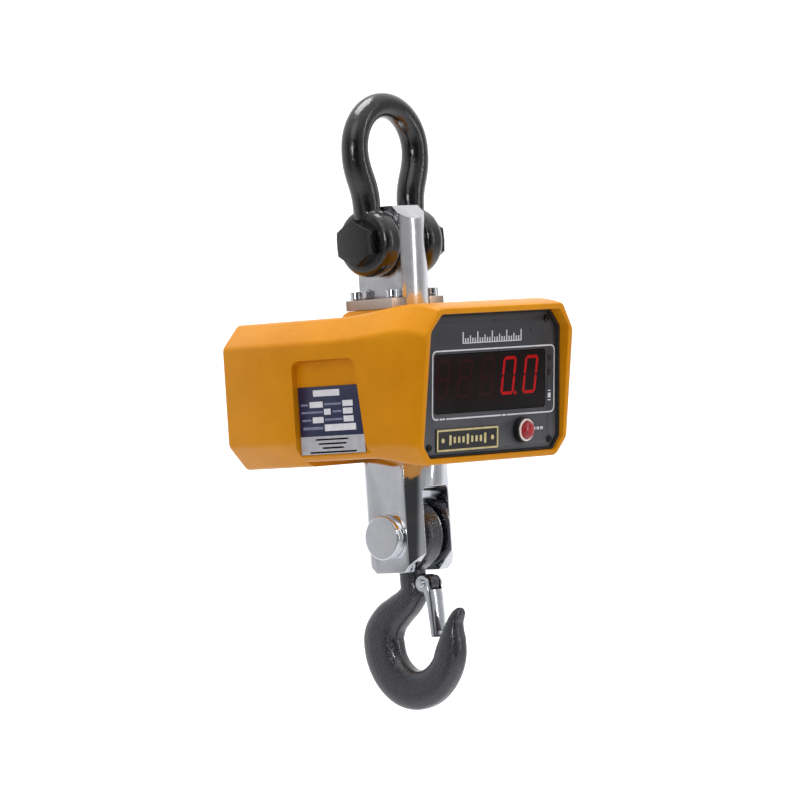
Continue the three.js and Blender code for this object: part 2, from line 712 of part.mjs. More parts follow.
// Dust cap over the charging socket.
function socketCap() {
  const profile = [[0, 0], [0, 7], [3, 7], [4, 6], [4, 0]];
  const turn = new THREE.Matrix4().makeRotationX(-Math.PI / 2);
  const place = move(SOCKET.x, REAR_FACE + 1.8 + GAP, SOCKET.z).multiply(turn);
  return turnedZ(profile, 20).transform(place.elements);
}

function switchBezel() {
  const { x, z, w, h } = SWITCH;
  const y = REAR_FACE + GAP;
  const rim = block(x - w / 2 - 1.5, x + w / 2 + 1.5, y, y + 1.6, z - h / 2 - 1.5, z + h / 2 + 1.5);
  const body = block(x - w / 2 + 1.3, x + w / 2 - 1.3, y - 12, y + 1, z - h / 2 + 1.3, z + h / 2 - 1.3);
  const well = block(x - w / 2 + 2.6, x + w / 2 - 2.6, y - 9, y + 5, z - h / 2 + 2.6, z + h / 2 - 2.6);
  return rim.add(body).subtract(well);
}

// Rocker key: a shallow V seen from the side, on a round hub.
function powerSwitch() {
  const half = SWITCH.w / 2 - 3.1;
  const reach = SWITCH.h / 2 - 3.6;
  const y = REAR_FACE + GAP;
  const shape = new THREE.Shape([
    new THREE.Vector2(-2.5, -reach),
    new THREE.Vector2(1.6, -reach),
    new THREE.Vector2(0.9, 0),
    new THREE.Vector2(3.4, reach),
    new THREE.Vector2(-2.5, reach),
    new THREE.Vector2(-4.5, 0),
  ]);
  const geometry = new THREE.ExtrudeGeometry(shape, { depth: 2 * half, bevelEnabled: false });
  geometry.translate(0, 0, -half);
  const basis = new THREE.Matrix4().makeBasis(
    new THREE.Vector3(0, 1, 0),
    new THREE.Vector3(0, 0, 1),
    new THREE.Vector3(1, 0, 0),
  );
  geometry.applyMatrix4(basis);
  return upright(solid(geometry, move(SWITCH.x, y, SWITCH.z)));
}

// ---------------------------------------------------------------- front panel group
function hole(points) {
  return new THREE.Path(points.map(([u, v]) => new THREE.Vector2(u, v)));
}

function frontPanel() {
  const { u0, u1, v0, v1, r } = WINDOW;
  const holes = [hole(roundedRectangle(u0, u1, v0, v1, r))];
  holes.push(hole(roundedHole(ZERO.u, ZERO.v, ZERO.hole_r, 24)));
  INDICATORS.forEach(([u, v]) => holes.push(hole(roundedHole(u, v, INDICATOR_R + GAP))));
  PANEL_SCREWS.forEach(([u, v]) => {
    holes.push(hole(roundedHole(u, v, 1.5 + GAP)), hole(roundedHole(-u, v, 1.5 + GAP)));
  });
  return plateOf(mirrored(PANEL_OUTLINE), -PANEL_T, 0, holes);
}

// Rubber frame between the panel's edge and the recess's wall.
function panelGasket() {
  const outer = plateOf(mirrored(grown(PANEL_OUTLINE, GASKET.w - GAP)), -PANEL_T, GASKET.lip);
  return outer.subtract(plateOf(mirrored(grown(PANEL_OUTLINE, GAP)), -PANEL_T - 1, GASKET.lip + 1));
}

function displayWindow() {
  const { u0, u1, v0, v1, r } = WINDOW;
  return plateOf(roundedRectangle(u0 + GAP, u1 - GAP, v0 + GAP, v1 - GAP, r), -PANEL_T + GAP, -0.4);
}

function digitModule(u) {
  const { v, w, h, t } = DIGIT;
  return block(u - w / 2, u + w / 2, v - h / 2, v + h / 2, -PANEL_T - t, -PANEL_T);
}

function buttonCollar() {
  const { collar_r, collar_t, hole_r, ring_r, cap_r, seat } = ZERO;
  const bore = cap_r + GAP;
  const neck = hole_r - GAP;
  const profile = [[-10, neck], [GAP, neck], [GAP, collar_r], [collar_t, collar_r], [collar_t, ring_r + GAP]];
  profile.push([seat, ring_r + GAP], [seat, bore], [-10, bore], [-10, neck]);
  return turnedZ(profile, 28).translate([ZERO.u, ZERO.v, 0]);
}

// Ring between the collar and the cap, pressed into the collar's counterbore.
function buttonRing() {
  const { collar_t, ring_r, cap_r, seat } = ZERO;
  const inner = cap_r + GAP;
  const back = seat + GAP;
  const front = collar_t + 0.8;
  const profile = [[back, inner], [back, ring_r], [front - 0.8, ring_r], [front, ring_r - 0.8]];
  profile.push([front, inner + 0.4], [front - 0.4, inner], [back, inner]);
  return turnedZ(profile, 28).translate([ZERO.u, ZERO.v, 0]);
}

// Red cap with a domed top, sliding in the collar.
function zeroButton() {
  const { cap_r, collar_t } = ZERO;
  const top = collar_t + 4.4;
  const profile = [[-9, 0], [-9, 4], [-1, 4], [-1, cap_r], [collar_t + 2.4, cap_r]];
  profile.push([collar_t + 3.5, cap_r - 1], [top - 0.4, cap_r - 3.2], [top, 0]);
  return turnedZ(profile, 24).translate([ZERO.u, ZERO.v, 0]);
}

function indicator(u, v) {
  const profile = [[-PANEL_T, 0], [-PANEL_T, INDICATOR_R], [0, INDICATOR_R]];
  profile.push([0.8, INDICATOR_R * 0.6], [1, 0]);
  return turnedZ(profile, 12).translate([u, v, 0]);
}

function centredPlate(u, v, w, h, w0, w1) {
  return block(u - w / 2, u + w / 2, v - h / 2, v + h / 2, w0, w1);
}

// ---------------------------------------------------------------- hook
// Stations down the neck, round the bowl and up to the tip: [y, z, half depth, half width].
function hookStations() {
  const neck = [
    [0, -350, 10, 9.6],
    [0, -366, 9.6, 9.4],
    [-0.4, -374, 10.6, 9.6],
    [6, -381.5, 11.6, 9.8],
    [16.5, -388.5, 13, 10],
    [26.5, -396, 15, 10.2],
  ];
  // round the bowl: [degrees, gap outside the inner circle, depth of the bar]
  const bowl = [
    [14, 1.2, 34.8],
    [-4, 0, 35.8],
    [-22, -0.3, 35.4],
    [-42, -0.4, 33.8],
    [-63, -0.2, 32.4],
    [-84, 0, 31.8],
    [-106, -0.6, 28.8],
    [-128, -1.2, 27],
    [-150, -0.8, 26],
    [-170, 0, 25.4],
  ].map(([degrees, off, depth]) => {
    const angle = THREE.MathUtils.degToRad(degrees);
    const radius = BOWL.r + off + depth / 2;
    const wide = THREE.MathUtils.mapLinear(degrees, 14, -170, 10.6, 9.6);
    return [BOWL.y + radius * Math.cos(angle), BOWL.z + radius * Math.sin(angle), depth / 2, wide];
  });
  const tip = [
    [-37.3, -411.5, 10, 9],
    [-38.8, -404.5, 7.4, 8],
    [-41, -398, 5.6, 6.6],
    [-44.4, -392.8, 4.8, 5.4],
    [-47.6, -389.8, 3.4, 3.8],
    [-49.2, -388.7, 1.2, 1.6],
  ];
  return [...neck, ...bowl, ...tip];
}

function hookBody() {
  const round = 7;
  const profile = [];
  [[EYE_HALF - round, 90], [-(EYE_HALF - round), 180]].forEach(([x, from]) => {
    for (let i = 0; i <= 3; i++) {
      const angle = THREE.MathUtils.degToRad(from - 90 + 30 * i);
      profile.push([x + round * Math.cos(angle), EYE_R - round + round * Math.sin(angle)]);
    }
  });
  profile.push([-EYE_HALF, 0], [EYE_HALF, 0], profile[0]);
  const bore = rod("x", HOOK_PIN_R + GAP, -30, 30, [0, 0, HOOK_PIN_Z]);
  const eye = turnedX([[EYE_HALF, 0], ...profile.slice(0, -3), [-EYE_HALF, 0]], 0, HOOK_PIN_Z);
  const bar = sweep(hookStations(), (y, z, x) => [x, y, z], 16);
  const [py, pz] = LATCH_PIVOT;
  const lug = rod("x", 7.2, -LUG_HALF, LUG_HALF, [0, py, pz], 20).add(
    block(-LUG_HALF, LUG_HALF, py, -4, pz - 7, pz + 7),
  );
  const pinHole = rod("x", LATCH_PIN_R + GAP, -30, 30, [0, py, pz], 16);
  return eye.add(bar).add(lug).subtract(bore).subtract(pinHole);
}

function latchPin() {
  const end = LATCH_HALF + GAP;
  const head = end + 1.3;
  const profile = [[-head, 0], [-head, 2.4], [-end - 0.4, 3.4], [-end, 3.4], [-end, LATCH_PIN_R]];
  profile.push([end, LATCH_PIN_R], [end, 3.4], [end + 0.4, 3.4], [head, 2.4], [head, 0]);
  return turnedX(profile, ...LATCH_PIVOT, 16);
}

// Stamped latch: a channel of two flanges and a rounded web, with ears on the pin and a foot bent
// to the tip. Rings down its length, from the pivot: [height, half width, front, flange edge].
const CHANNEL = [
  [2, 8.6, -6.2, 3],
  [-5, 8.6, -8.6, -0.6],
  [-14, 8.4, -9.6, -3.4],
  [-28, 8.1, -10.3, -4.8],
  [-42.2, 7.8, -10.9, -5.8],
];
const WEB_TOP = -5;
const WEB_RISE = 3.2; // how far the web's rounded front stands out

function channelRing([height, half, front, back], inset) {
  const [py, pz] = LATCH_PIVOT;
  const wide = half - inset;
  const z = pz + height;
  const ring = [[wide, py + back + inset * 10, z], [-wide, py + back + inset * 10, z]];
  for (let i = -5; i <= 5; i++) {
    const angle = (Math.PI / 2) * (i / 5);
    const y = py + front + inset + WEB_RISE * (1 - Math.cos(angle));
    ring.push([wide * Math.sin(angle), y, z]);
  }
  return ring;
}

function latch() {
  const [py, pz] = LATCH_PIVOT;
  const last = CHANNEL[CHANNEL.length - 1];
  const inner = last[1] - SHEET;
  const longer = [[10, ...CHANNEL[0].slice(1)], ...CHANNEL, [last[0] - 6, ...last.slice(1)]];
  let body = loft(CHANNEL.map((row) => channelRing(row, 0)));
  body = body.add(rod("x", 6.2, -LATCH_HALF, LATCH_HALF, [0, py, pz], 20));
  body = body.subtract(loft(longer.map((row) => channelRing(row, SHEET))));
  const gap = LATCH_HALF - SHEET;
  body = body.subtract(block(-gap, gap, py - 20, py + 20, pz + WEB_TOP, pz + 10));
  const across = new THREE.Matrix4().makeBasis(
    new THREE.Vector3(0, 1, 0),
    new THREE.Vector3(0, 0, 1),
    new THREE.Vector3(1, 0, 0),
  );
  const side = (points, half) => plateOf(points, -half, half).transform(across.elements);
  const end = LATCH_END_Z;
  // the web's lower end is cut away beside the flanges
  const relief = [[py - 9.4, end - 1], [py - 9.4, end + 2], [py - 6, end + 13]];
  relief.push([py, end + 13], [py, end - 1]);
  body = body.subtract(side(relief, inner));
  const foot = [[py - 9.4, end], [py - 9.4, end + 3], [py - 11.2, end + 4.5], [py - 12.4, end + 2.5]];
  body = body.add(side(foot, inner - 2));
  return body.subtract(rod("x", LATCH_PIN_R + GAP, -30, 30, [0, py, pz], 16));
}

// Torsion spring: a coil beside the lug, one leg along the neck and one down the web.
function latchSpring() {
  const [py, pz] = LATCH_PIVOT;
  const x0 = LUG_HALF + GAP;
  const x1 = LATCH_HALF - SHEET - GAP;
  const coil = turnedX([[x0, 3.1], [x1, 3.1], [x1, 4.6], [x0, 4.6], [x0, 3.1]], py, pz, 20);
  const lower = block(x0 + 0.1, x1 - 0.1, py - 4.6, py - 3.4, pz - 22, pz);
  const upper = block(x0 + 0.1, x1 - 0.1, py, py + 6, pz + 3.2, pz + 4.4);
  return coil.add(lower).add(upper);
}

// ---------------------------------------------------------------- assembly
add("shackle_bow", shackleBow(), "black_paint");
add("shackle_bolt", shackleBolt(), "black_paint");
add("shackle_nut", shackleNut(), "black_paint");
add("cotter_pin", cotterPin(), "zinc");

add("load_bar", loadBar(), "chrome");
add("collar_plate_left", collarPlate(-1), "steel");
add("collar_plate_right", collarPlate(1), "steel");
eachCorner(COLLAR_SCREW.x, COLLAR_SCREW.y, (x, y, number) => {
  add(`collar_screw_${number}`, capScrew().translate([x, y, COLLAR.top + GAP]), "black_steel");
});
add("load_cell", loadCell(), "cell");
add("hook_fork", hookFork(), "chrome");
add("hook_pin", hookPin(), "chrome");
add("pin_washer", ringX(FORK_HALF + GAP, FORK_HALF + 2.8, HOOK_PIN_R + GAP, 15), "zinc");
add("retaining_ring", retainingRing(), "black_steel");

add("housing", housing(), "orange_paint");
add("fork_seal", forkSeal(), "rubber");
add("label_plate", labelPlate(), "label");
add("rear_cover", rearCover(), "panel_grey");
REAR_SCREWS.forEach(([x, z], row) => {
  [-x, x].forEach((at, column) => {
    const place = move(at, REAR_FACE + GAP, z).multiply(new THREE.Matrix4().makeRotationX(-Math.PI / 2));
    const screw = panScrew(1.5, 3.1, 2, 9).transform(place.elements);
    add(`rear_screw_${2 * row + column + 1}`, screw, "black_steel");
  });
});
add("charge_socket", chargeSocket(), "black_plastic");
add("socket_cap", socketCap(), "rubber");
add("switch_bezel", switchBezel(), "black_plastic");
add("power_switch", powerSwitch(), "red_plastic");
add("battery", block(-62, 20, 46, 84, -258, -178), "battery");

add("panel_gasket", panelGasket(), "rubber", front);
add("front_panel", frontPanel(), "panel_grey", front);
PANEL_SCREWS.forEach(([u, v], row) => {
  [-u, u].forEach((at, column) => {
    const screw = panScrew(1.5, 2.8, 1.8, 9).translate([at, v, GAP]);
    add(`panel_screw_${2 * row + column + 1}`, screw, "black_steel", front);
  });
});
add("display_window", displayWindow(), "dark_red", front);
for (let i = 0; i < DIGIT.count; i++) {
  const u = DIGIT.last_u - (DIGIT.count - 1 - i) * DIGIT.pitch;
  add(`digit_${i + 1}`, digitModule(u), "digit", front);
}
const boardTop = -PANEL_T - DIGIT.t - GAP;
add("display_board", centredPlate(0, 4, 140, 44, boardTop - 1.6, boardTop), "board", front);
add("main_board", block(-55, 55, -66, -64.4, -250, -185), "board");
const capacityPlate = centredPlate(CAPACITY.u, CAPACITY.v, CAPACITY.w, CAPACITY.h, GAP, GAP + CAPACITY.t);
add("capacity_plate", capacityPlate, "gold_plate", front);
add("button_collar", buttonCollar(), "black_plastic", front);
add("button_ring", buttonRing(), "white_plastic", front);
add("zero_button", zeroButton(), "red_plastic", front);
INDICATORS.forEach(([u, v], i) => add(`indicator_${i + 1}`, indicator(u, v), "black_plastic", front));

add("hook", hookBody(), "hook_paint");
add("latch_pin", latchPin(), "zinc");
add("latch_spring", latchSpring(), "black_steel");
add("latch", latch(), "zinc");

export default scale;
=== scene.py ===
"""Looks of the crane scale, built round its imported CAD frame.

Pieces are measured in millimetres, and the camera, lamps and backdrop in metres.
"""
import json
import math

import bmesh
import bpy
from mathutils import Matrix, Vector


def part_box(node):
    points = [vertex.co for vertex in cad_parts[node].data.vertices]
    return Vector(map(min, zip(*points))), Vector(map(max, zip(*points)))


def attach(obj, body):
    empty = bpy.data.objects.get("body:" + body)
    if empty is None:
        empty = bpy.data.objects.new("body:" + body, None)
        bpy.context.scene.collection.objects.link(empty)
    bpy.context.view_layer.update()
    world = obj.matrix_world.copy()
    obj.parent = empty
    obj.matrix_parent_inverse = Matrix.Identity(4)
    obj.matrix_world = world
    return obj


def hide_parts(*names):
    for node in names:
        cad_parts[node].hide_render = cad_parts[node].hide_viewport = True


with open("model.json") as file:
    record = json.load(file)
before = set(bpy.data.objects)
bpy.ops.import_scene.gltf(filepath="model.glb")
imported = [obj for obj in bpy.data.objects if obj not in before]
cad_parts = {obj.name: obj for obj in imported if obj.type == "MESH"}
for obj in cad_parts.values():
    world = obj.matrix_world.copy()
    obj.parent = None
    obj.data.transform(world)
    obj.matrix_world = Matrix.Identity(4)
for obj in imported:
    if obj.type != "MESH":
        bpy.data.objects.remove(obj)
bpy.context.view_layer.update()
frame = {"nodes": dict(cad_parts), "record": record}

MM = 0.001
CAD = frame["nodes"]

# ---- driving sizes
PANEL_TILT = math.radians(5.5)
PANEL_ORIGIN = Vector((0, -91.8, -213.7))
PANEL_OUTLINE = [(69, 54), (81, 40.5), (81.8, -43), (73.5, -53)]
LEDGE_OUTLINE = [(58, 50), (74, 30), (74, -32), (60, -50)]
PANEL_T = 3
RIM_TILT = math.radians(9.2)
RIM_TOP = (-110, -154.5)

SHACKLE_PIN_Z = -98
BOLT_R, BOLT_BORE_R, HEXAGON_R = 11, 11.3, 18.5
COTTER_HOLE_X = 49.5
EAR_X = 16.1  # the inner faces of the bow's ears
HOOK_PIN_Z = -329.4
HOOK_PIN_R, HOOK_BORE_R = 10, 10.3
LATCH_PIVOT = (-16, -367.3)
LATCH_PIN_R, LATCH_BORE_R = 2.5, 2.8
BOWL = {"y": -3, "z": -416.5, "r": 19.2}
PRINT_T = 0.12
ACROSS, UP = (1, 0, 0), (0, 0, 1)


def low(node):
    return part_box(node)[0] / MM


def high(node):
    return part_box(node)[1] / MM


def middle(node):
    return (low(node) + high(node)) / 2


def numbered(stem, count=4):
    return [f"{stem}_{number}" for number in range(1, count + 1)]


def lerp(a, b, t):
    return a + (b - a) * t


# ---- camera
def photo_camera():
    """A long lens level with the housing, turned to the display's left side and rolled a little."""
    azimuth, elevation, roll = (math.radians(angle) for angle in (-49, 0.18, 3.76))
    target, distance = Vector((-0.0007, 0.0008, -0.2224)), 4.2
    back = Vector((
        math.sin(azimuth) * math.cos(elevation),
        -math.cos(azimuth) * math.cos(elevation),
        math.sin(elevation),
    ))
    data = bpy.data.cameras.new("photo_camera")
    data.lens = 240
    data.clip_end = 60
    camera = placed("photo_camera", data)
    camera.rotation_mode = "QUATERNION"
    turn = (-back).to_track_quat("-Z", "Y").to_matrix() @ Matrix.Rotation(-roll, 3, "Z")
    camera.rotation_quaternion = turn.to_quaternion()
    camera.location = target + back * distance
    bpy.context.scene.camera = camera


# ---- mesh tools
def placed(name, data):
    obj = bpy.data.objects.new(name, data)
    bpy.context.scene.collection.objects.link(obj)
    return obj


def new_object(name, vertices, faces):
    """A mesh object with doubled points merged and every face turned outwards."""
    mesh = bpy.data.meshes.new(name)
    mesh.from_pydata([Vector(v) * MM for v in vertices], [], faces)
    obj = placed(name, mesh)
    work = edit(obj)
    bmesh.ops.remove_doubles(work, verts=work.verts, dist=1e-7)
    bmesh.ops.recalc_face_normals(work, faces=work.faces)
    if work.calc_volume(signed=True) < 0:
        bmesh.ops.reverse_faces(work, faces=work.faces)
    return commit(obj, work)


def edit(obj):
    work = bmesh.new()
    work.from_mesh(obj.data)
    return work


def commit(obj, work):
    work.to_mesh(obj.data)
    work.free()
    obj.data.update()
    return obj


def modify(obj, kind, **settings):
    modifier = obj.modifiers.new(kind.lower(), kind)
    for key, value in settings.items():
        setattr(modifier, key, value)


def apply(obj):
    """Makes the modifiers' result the object's own mesh."""
    bpy.context.view_layer.update()
    graph = bpy.context.evaluated_depsgraph_get()
    mesh = bpy.data.meshes.new_from_object(obj.evaluated_get(graph))
    obj.modifiers.clear()
    old = obj.data
    obj.data = mesh
    bpy.data.meshes.remove(old)
    return obj


def boolean(obj, operation, tools):
    for tool in tools:
        modify(obj, "BOOLEAN", operation=operation, solver="EXACT", object=tool)
    apply(obj)
    for tool in tools:
        bpy.data.objects.remove(tool)
    return obj


def cut(obj, *tools):
    return boolean(obj, "DIFFERENCE", tools)


def join(obj, *tools):
    return boolean(obj, "UNION", tools)


def common(obj, *tools):
    return boolean(obj, "INTERSECT", tools)


def shade(obj):
    obj.data.polygons.foreach_set("use_smooth", [True] * len(obj.data.polygons))


def smooth(obj, angle=40):
    shade(obj)
    obj.data.set_sharp_from_angle(angle=math.radians(angle))
    return obj


def bevelled(obj, width, segments=3):
    """Rounds the sharp edges and keeps the flats flat."""
    work = edit(obj)
    bmesh.ops.remove_doubles(work, verts=work.verts, dist=0.02 * MM)
    flat = math.radians(0.6)
    bmesh.ops.dissolve_limit(work, angle_limit=flat, verts=work.verts, edges=work.edges)
    shade(commit(obj, work))
    sharp = {"limit_method": "ANGLE", "angle_limit": math.radians(32)}
    finish = {"harden_normals": True, "miter_outer": "MITER_ARC"}
    modify(obj, "BEVEL", width=width * MM, segments=segments, **sharp, **finish)
    return apply(obj)


def fused(obj, voxel, passes):
    """Joins a forging's or casting's volumes into one skin with soft fillets."""
    modify(obj, "REMESH", mode="VOXEL", voxel_size=voxel * MM)
    modify(obj, "SMOOTH", factor=0.5, iterations=passes)
    return smooth(apply(obj), 180)


def skin(name, rings, loop=False):
    """Rings of equally many points, joined by four-sided faces."""
    count = len(rings[0])
    vertices = [point for ring in rings for point in ring]
    faces = []
    last = len(rings) if loop else len(rings) - 1
    for r in range(last):
        after = (r + 1) % len(rings)
        for i in range(count):
            j = (i + 1) % count
            faces.append((r * count + i, r * count + j, after * count + j, after * count + i))
    if not loop:
        faces.append(tuple(reversed(range(count))))
        faces.append(tuple(range((len(rings) - 1) * count, len(rings) * count)))
    return new_object(name, vertices, faces)


def frame_of(axis, centre):
    """The matrix that takes local z to the axis and the local origin to the centre."""
    turn = Vector(axis).to_track_quat("Z", "Y").to_matrix().to_4x4()
    return Matrix.Translation(Vector(centre)) @ turn


def axis_of(place):
    """The axis and centre for a piece that is turned about a matrix's local z."""
    return place.to_3x3() @ Vector(UP), place.translation


def lathe(name, profile, axis=UP, centre=(0, 0, 0), sides=96):
    """A turned piece. The profile lists (place along the axis, radius)."""
    place = frame_of(axis, centre)
    vertices = []
    rows = []
    for along, radius in profile:
        if radius < 1e-6:
            rows.append([len(vertices)] * sides)
            vertices.append(place @ Vector((0, 0, along)))
            continue
        rows.append(list(range(len(vertices), len(vertices) + sides)))
        for i in range(sides):
            angle = 2 * math.pi * i / sides
            point = (radius * math.cos(angle), radius * math.sin(angle), along)
            vertices.append(place @ Vector(point))
    faces = []
    for first, second in zip(rows, rows[1:]):
        for i in range(sides):
            j = (i + 1) % sides
            face = []
            for index in (first[i], first[j], second[j], second[i]):
                if index not in face:
                    face.append(index)
            if len(face) > 2:
                faces.append(face)
    return new_object(name, vertices, faces)


def filleted(points, steps=5):
    """A polyline whose corners (a, b, tangent length) are rounded. A corner without one stays sharp."""
    out = []
    for i, point in enumerate(points):
        here = Vector(point[:2])
        reach = point[2] if len(point) > 2 else 0
        if reach <= 0 or i in (0, len(points) - 1):
            out.append(tuple(here))
            continue
        out.extend(corner(Vector(points[i - 1][:2]), here, Vector(points[i + 1][:2]), reach, steps))
    return out


def corner(before, here, after, reach, steps):
    start = here + (before - here).normalized() * reach
    end = here + (after - here).normalized() * reach
    points = []
    for k in range(steps + 1):
        t = k / steps
        points.append(tuple(start * (1 - t) ** 2 + here * 2 * t * (1 - t) + end * t * t))
    return points


def rounded_outline(points, reach, steps=5):
    """A closed outline with every corner rounded."""
    out = []
    for i, point in enumerate(points):
        before = Vector(points[i - 1])
        after = Vector(points[(i + 1) % len(points)])
        out.extend(corner(before, Vector(point), after, reach, steps))
    return out


def rectangle(u0, u1, v0, v1):
    return [(u1, v1), (u0, v1), (u0, v0), (u1, v0)]


def round_outline(u, v, radius, sides=24):
    angles = [2 * math.pi * i / sides for i in range(sides)]
    return [(u + radius * math.cos(a), v + radius * math.sin(a)) for a in angles]


def mirrored(half):
    return list(half) + [(-u, v) for u, v in reversed(half)]


def slab(name, outline, bottom, top, place=Matrix.Identity(4)):
    """An outline in the local xy plane, thickened along local z."""
    rings = [[place @ Vector((u, v, w)) for u, v in outline] for w in (bottom, top)]
    return skin(name, rings)


def band(name, outer, inner, bottom, top, place):
    """A flat frame between two outlines of equally many points."""
    rings = [
        [place @ Vector((u, v, w)) for u, v in outline]
        for outline, w in ((outer, bottom), (outer, top), (inner, top), (inner, bottom))
    ]
    return skin(name, rings, loop=True)


def plate_across(name, points, x0, x1):
    """An outline of (y, z) points, thickened along x."""
    return skin(name, [[(x, y, z) for y, z in points] for x in (x0, x1)])


def block(name, lo, hi):
    return slab(name, rectangle(lo[0], hi[0], lo[1], hi[1]), lo[2], hi[2])


def rod(name, axis, radius, start, end, centre, sides=64):
    return lathe(name, [(start, 0), (start, radius), (end, radius), (end, 0)], axis, centre, sides)


def sweep(name, stations, place, sides=48):
    """A rounded bar through stations (a, b, half size in the plane, half size across, squareness)."""
    rings = []
    for i, station in enumerate(stations):
        a, b, inside, across, power = station
        before = stations[max(i - 1, 0)]
        after = stations[min(i + 1, len(stations) - 1)]
        heading = math.atan2(after[1] - before[1], after[0] - before[0])
        ring = []
        for k in range(sides):
            angle = 2 * math.pi * k / sides
            c, s = math.cos(angle), math.sin(angle)
            offset = inside * math.copysign(abs(c) ** power, c)
            side = across * math.copysign(abs(s) ** power, s)
            x = a - offset * math.sin(heading)
            y = b + offset * math.cos(heading)
            ring.append(place(x, y, side))
        rings.append(ring)
    return skin(name, rings)


def spline(rows, per_span):
    """Catmull-Rom through rows of numbers."""
    out = []
    for i in range(len(rows) - 1):
        p0, p1 = rows[max(i - 1, 0)], rows[i]
        p2, p3 = rows[i + 1], rows[min(i + 2, len(rows) - 1)]
        for k in range(per_span):
            t = k / per_span
            out.append(tuple(catmull(a, b, c, d, t) for a, b, c, d in zip(p0, p1, p2, p3)))
    out.append(tuple(rows[-1]))
    return out


def catmull(a, b, c, d, t):
    square, cube = 2 * a - 5 * b + 4 * c - d, 3 * b - a - 3 * c + d
    return 0.5 * (2 * b + (c - a) * t + square * t * t + cube * t**3)


BODIES = frame["record"]["behaviour"]["bodies"]
BODY_OF = {member: body for body, members in BODIES.items() for member in members}


def dress(obj, node, material, replace=True):
    """Gives a new piece its material and body, and hides the CAD node it stands for."""
    obj.data.materials.clear()
    obj.data.materials.append(M[material])
    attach(obj, BODY_OF[node])
    if replace:
        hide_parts(node)
    return obj


def turned(node, profile, axis, centre, material, angle=35, sides=96, steps=5):
    """A turned piece that stands for its node. Its profile's corners may carry fillets."""
    obj = lathe(node + "_turned", filleted(profile, steps), axis, centre, sides)
    dress(smooth(obj, angle), node, material)


def refined(node, width, material, segments=3):
    """The CAD node's own shape with its edges rounded."""
    obj = CAD[node].copy()
    obj.data = CAD[node].data.copy()
    obj.name = node + "_finished"
    obj.parent = None
    for key in [key for key in obj.keys() if key.startswith("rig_")]:
        del obj[key]
    bpy.context.scene.collection.objects.link(obj)
    dress(bevelled(obj, width, segments), node, material)


# ---- materials
def rgb(red, green, blue):
    """A colour given as it looks on a screen, 0 to 255."""
    linear = []
    for value in (red, green, blue):
        v = value / 255
        linear.append(v / 12.92 if v <= 0.04045 else ((v + 0.055) / 1.055) ** 2.4)
    return (*linear, 1)


class Tree:
    """A node tree, with short calls for the nodes it needs."""

    def __init__(self, tree):
        self.tree = tree

    def feed(self, node, inputs):
        for key, value in dict(inputs).items():
            if isinstance(value, bpy.types.NodeSocket):
                self.tree.links.new(value, node.inputs[key])
            else:
                node.inputs[key].default_value = value

    def add(self, kind, inputs=(), **settings):
        node = self.tree.nodes.new(kind)
        for key, value in settings.items():
            setattr(node, key, value)
        self.feed(node, inputs)
        return node

    def levels(self, value, low_in, high_in, low_out=0.0, high_out=1.0):
        inputs = {"Value": value, "From Min": low_in, "From Max": high_in}
        inputs |= {"To Min": low_out, "To Max": high_out}
        return self.add("ShaderNodeMapRange", inputs).outputs[0]

    def math(self, operation, a, b):
        return self.add("ShaderNodeMath", {0: a, 1: b}, operation=operation).outputs[0]

    def blend(self, factor, a, b):
        return self.add("ShaderNodeMix", {0: factor, 6: a, 7: b}, data_type="RGBA").outputs[2]


class Material(Tree):
    """A material's tree, with its pattern nodes and its principled shader."""

    def __init__(self, name):
        self.material = bpy.data.materials.new(name)
        self.material.use_nodes = True
        super().__init__(self.material.node_tree)
        self.shader = self.tree.nodes["Principled BSDF"]
        self.place = self.add("ShaderNodeTexCoord").outputs["Object"]

    def stretched(self, scale):
        return self.add("ShaderNodeMapping", {"Vector": self.place, "Scale": scale}).outputs[0]

    def noise(self, scale, detail=3, roughness=0.55, vector=None):
        inputs = {"Vector": vector or self.place, "Scale": scale}
        inputs |= {"Detail": detail, "Roughness": roughness}
        return self.add("ShaderNodeTexNoise", inputs).outputs["Fac"]

    def spread(self, noise, low_out, high_out):
        """The middle of a noise's range, carried to a new range."""
        return self.levels(noise, 0.3, 0.7, low_out, high_out)

    def mottled(self, noise, colour, other, start=0.35, end=0.7):
        """Two screen colours in soft patches."""
        return self.blend(self.levels(noise, start, end), rgb(*colour), rgb(*other))

    def tinted(self, tone, mask, colour, share=1.0):
        """The tone, with a screen colour over it where the mask is high."""
        return self.blend(self.math("MULTIPLY", mask, share), tone, rgb(*colour))

    def edges(self, start=0.53, end=0.62):
        pointiness = self.add("ShaderNodeNewGeometry").outputs["Pointiness"]
        return self.levels(pointiness, start, end)

    # Painted shade: a mask for darker colour in concave places, where shade falls.
    def hollow_shade(self):
        return self.edges(0.47, 0.40)

    def bump(self, height, distance, strength=1.0, normal=None):
        inputs = {"Height": height, "Distance": distance * MM, "Strength": strength}
        if normal is not None:
            inputs["Normal"] = normal
        return self.add("ShaderNodeBump", inputs).outputs[0]

    def set(self, **values):
        self.feed(self.shader, {key.replace("_", " "): value for key, value in values.items()})
        return self.material


def forged_black():
    n = Material("black_forging")
    spots = n.noise(260, 4, 0.6)
    tone = n.mottled(spots, (9, 9, 12), (20, 20, 24), 0.4)
    worn = n.math("MULTIPLY", n.edges(0.54, 0.66), n.levels(n.noise(900), 0.5, 0.64))
    height = n.bump(n.noise(110, 2), 0.16)
    return n.set(
        Base_Color=n.tinted(tone, worn, (92, 88, 84)),
        Roughness=n.spread(spots, 0.10, 0.22),
        Normal=n.bump(n.noise(430, 3, 0.6), 0.32, 0.9, height),
        Specular_IOR_Level=0.6,
        Coat_Weight=0.5,
        Coat_Roughness=0.06,
    )


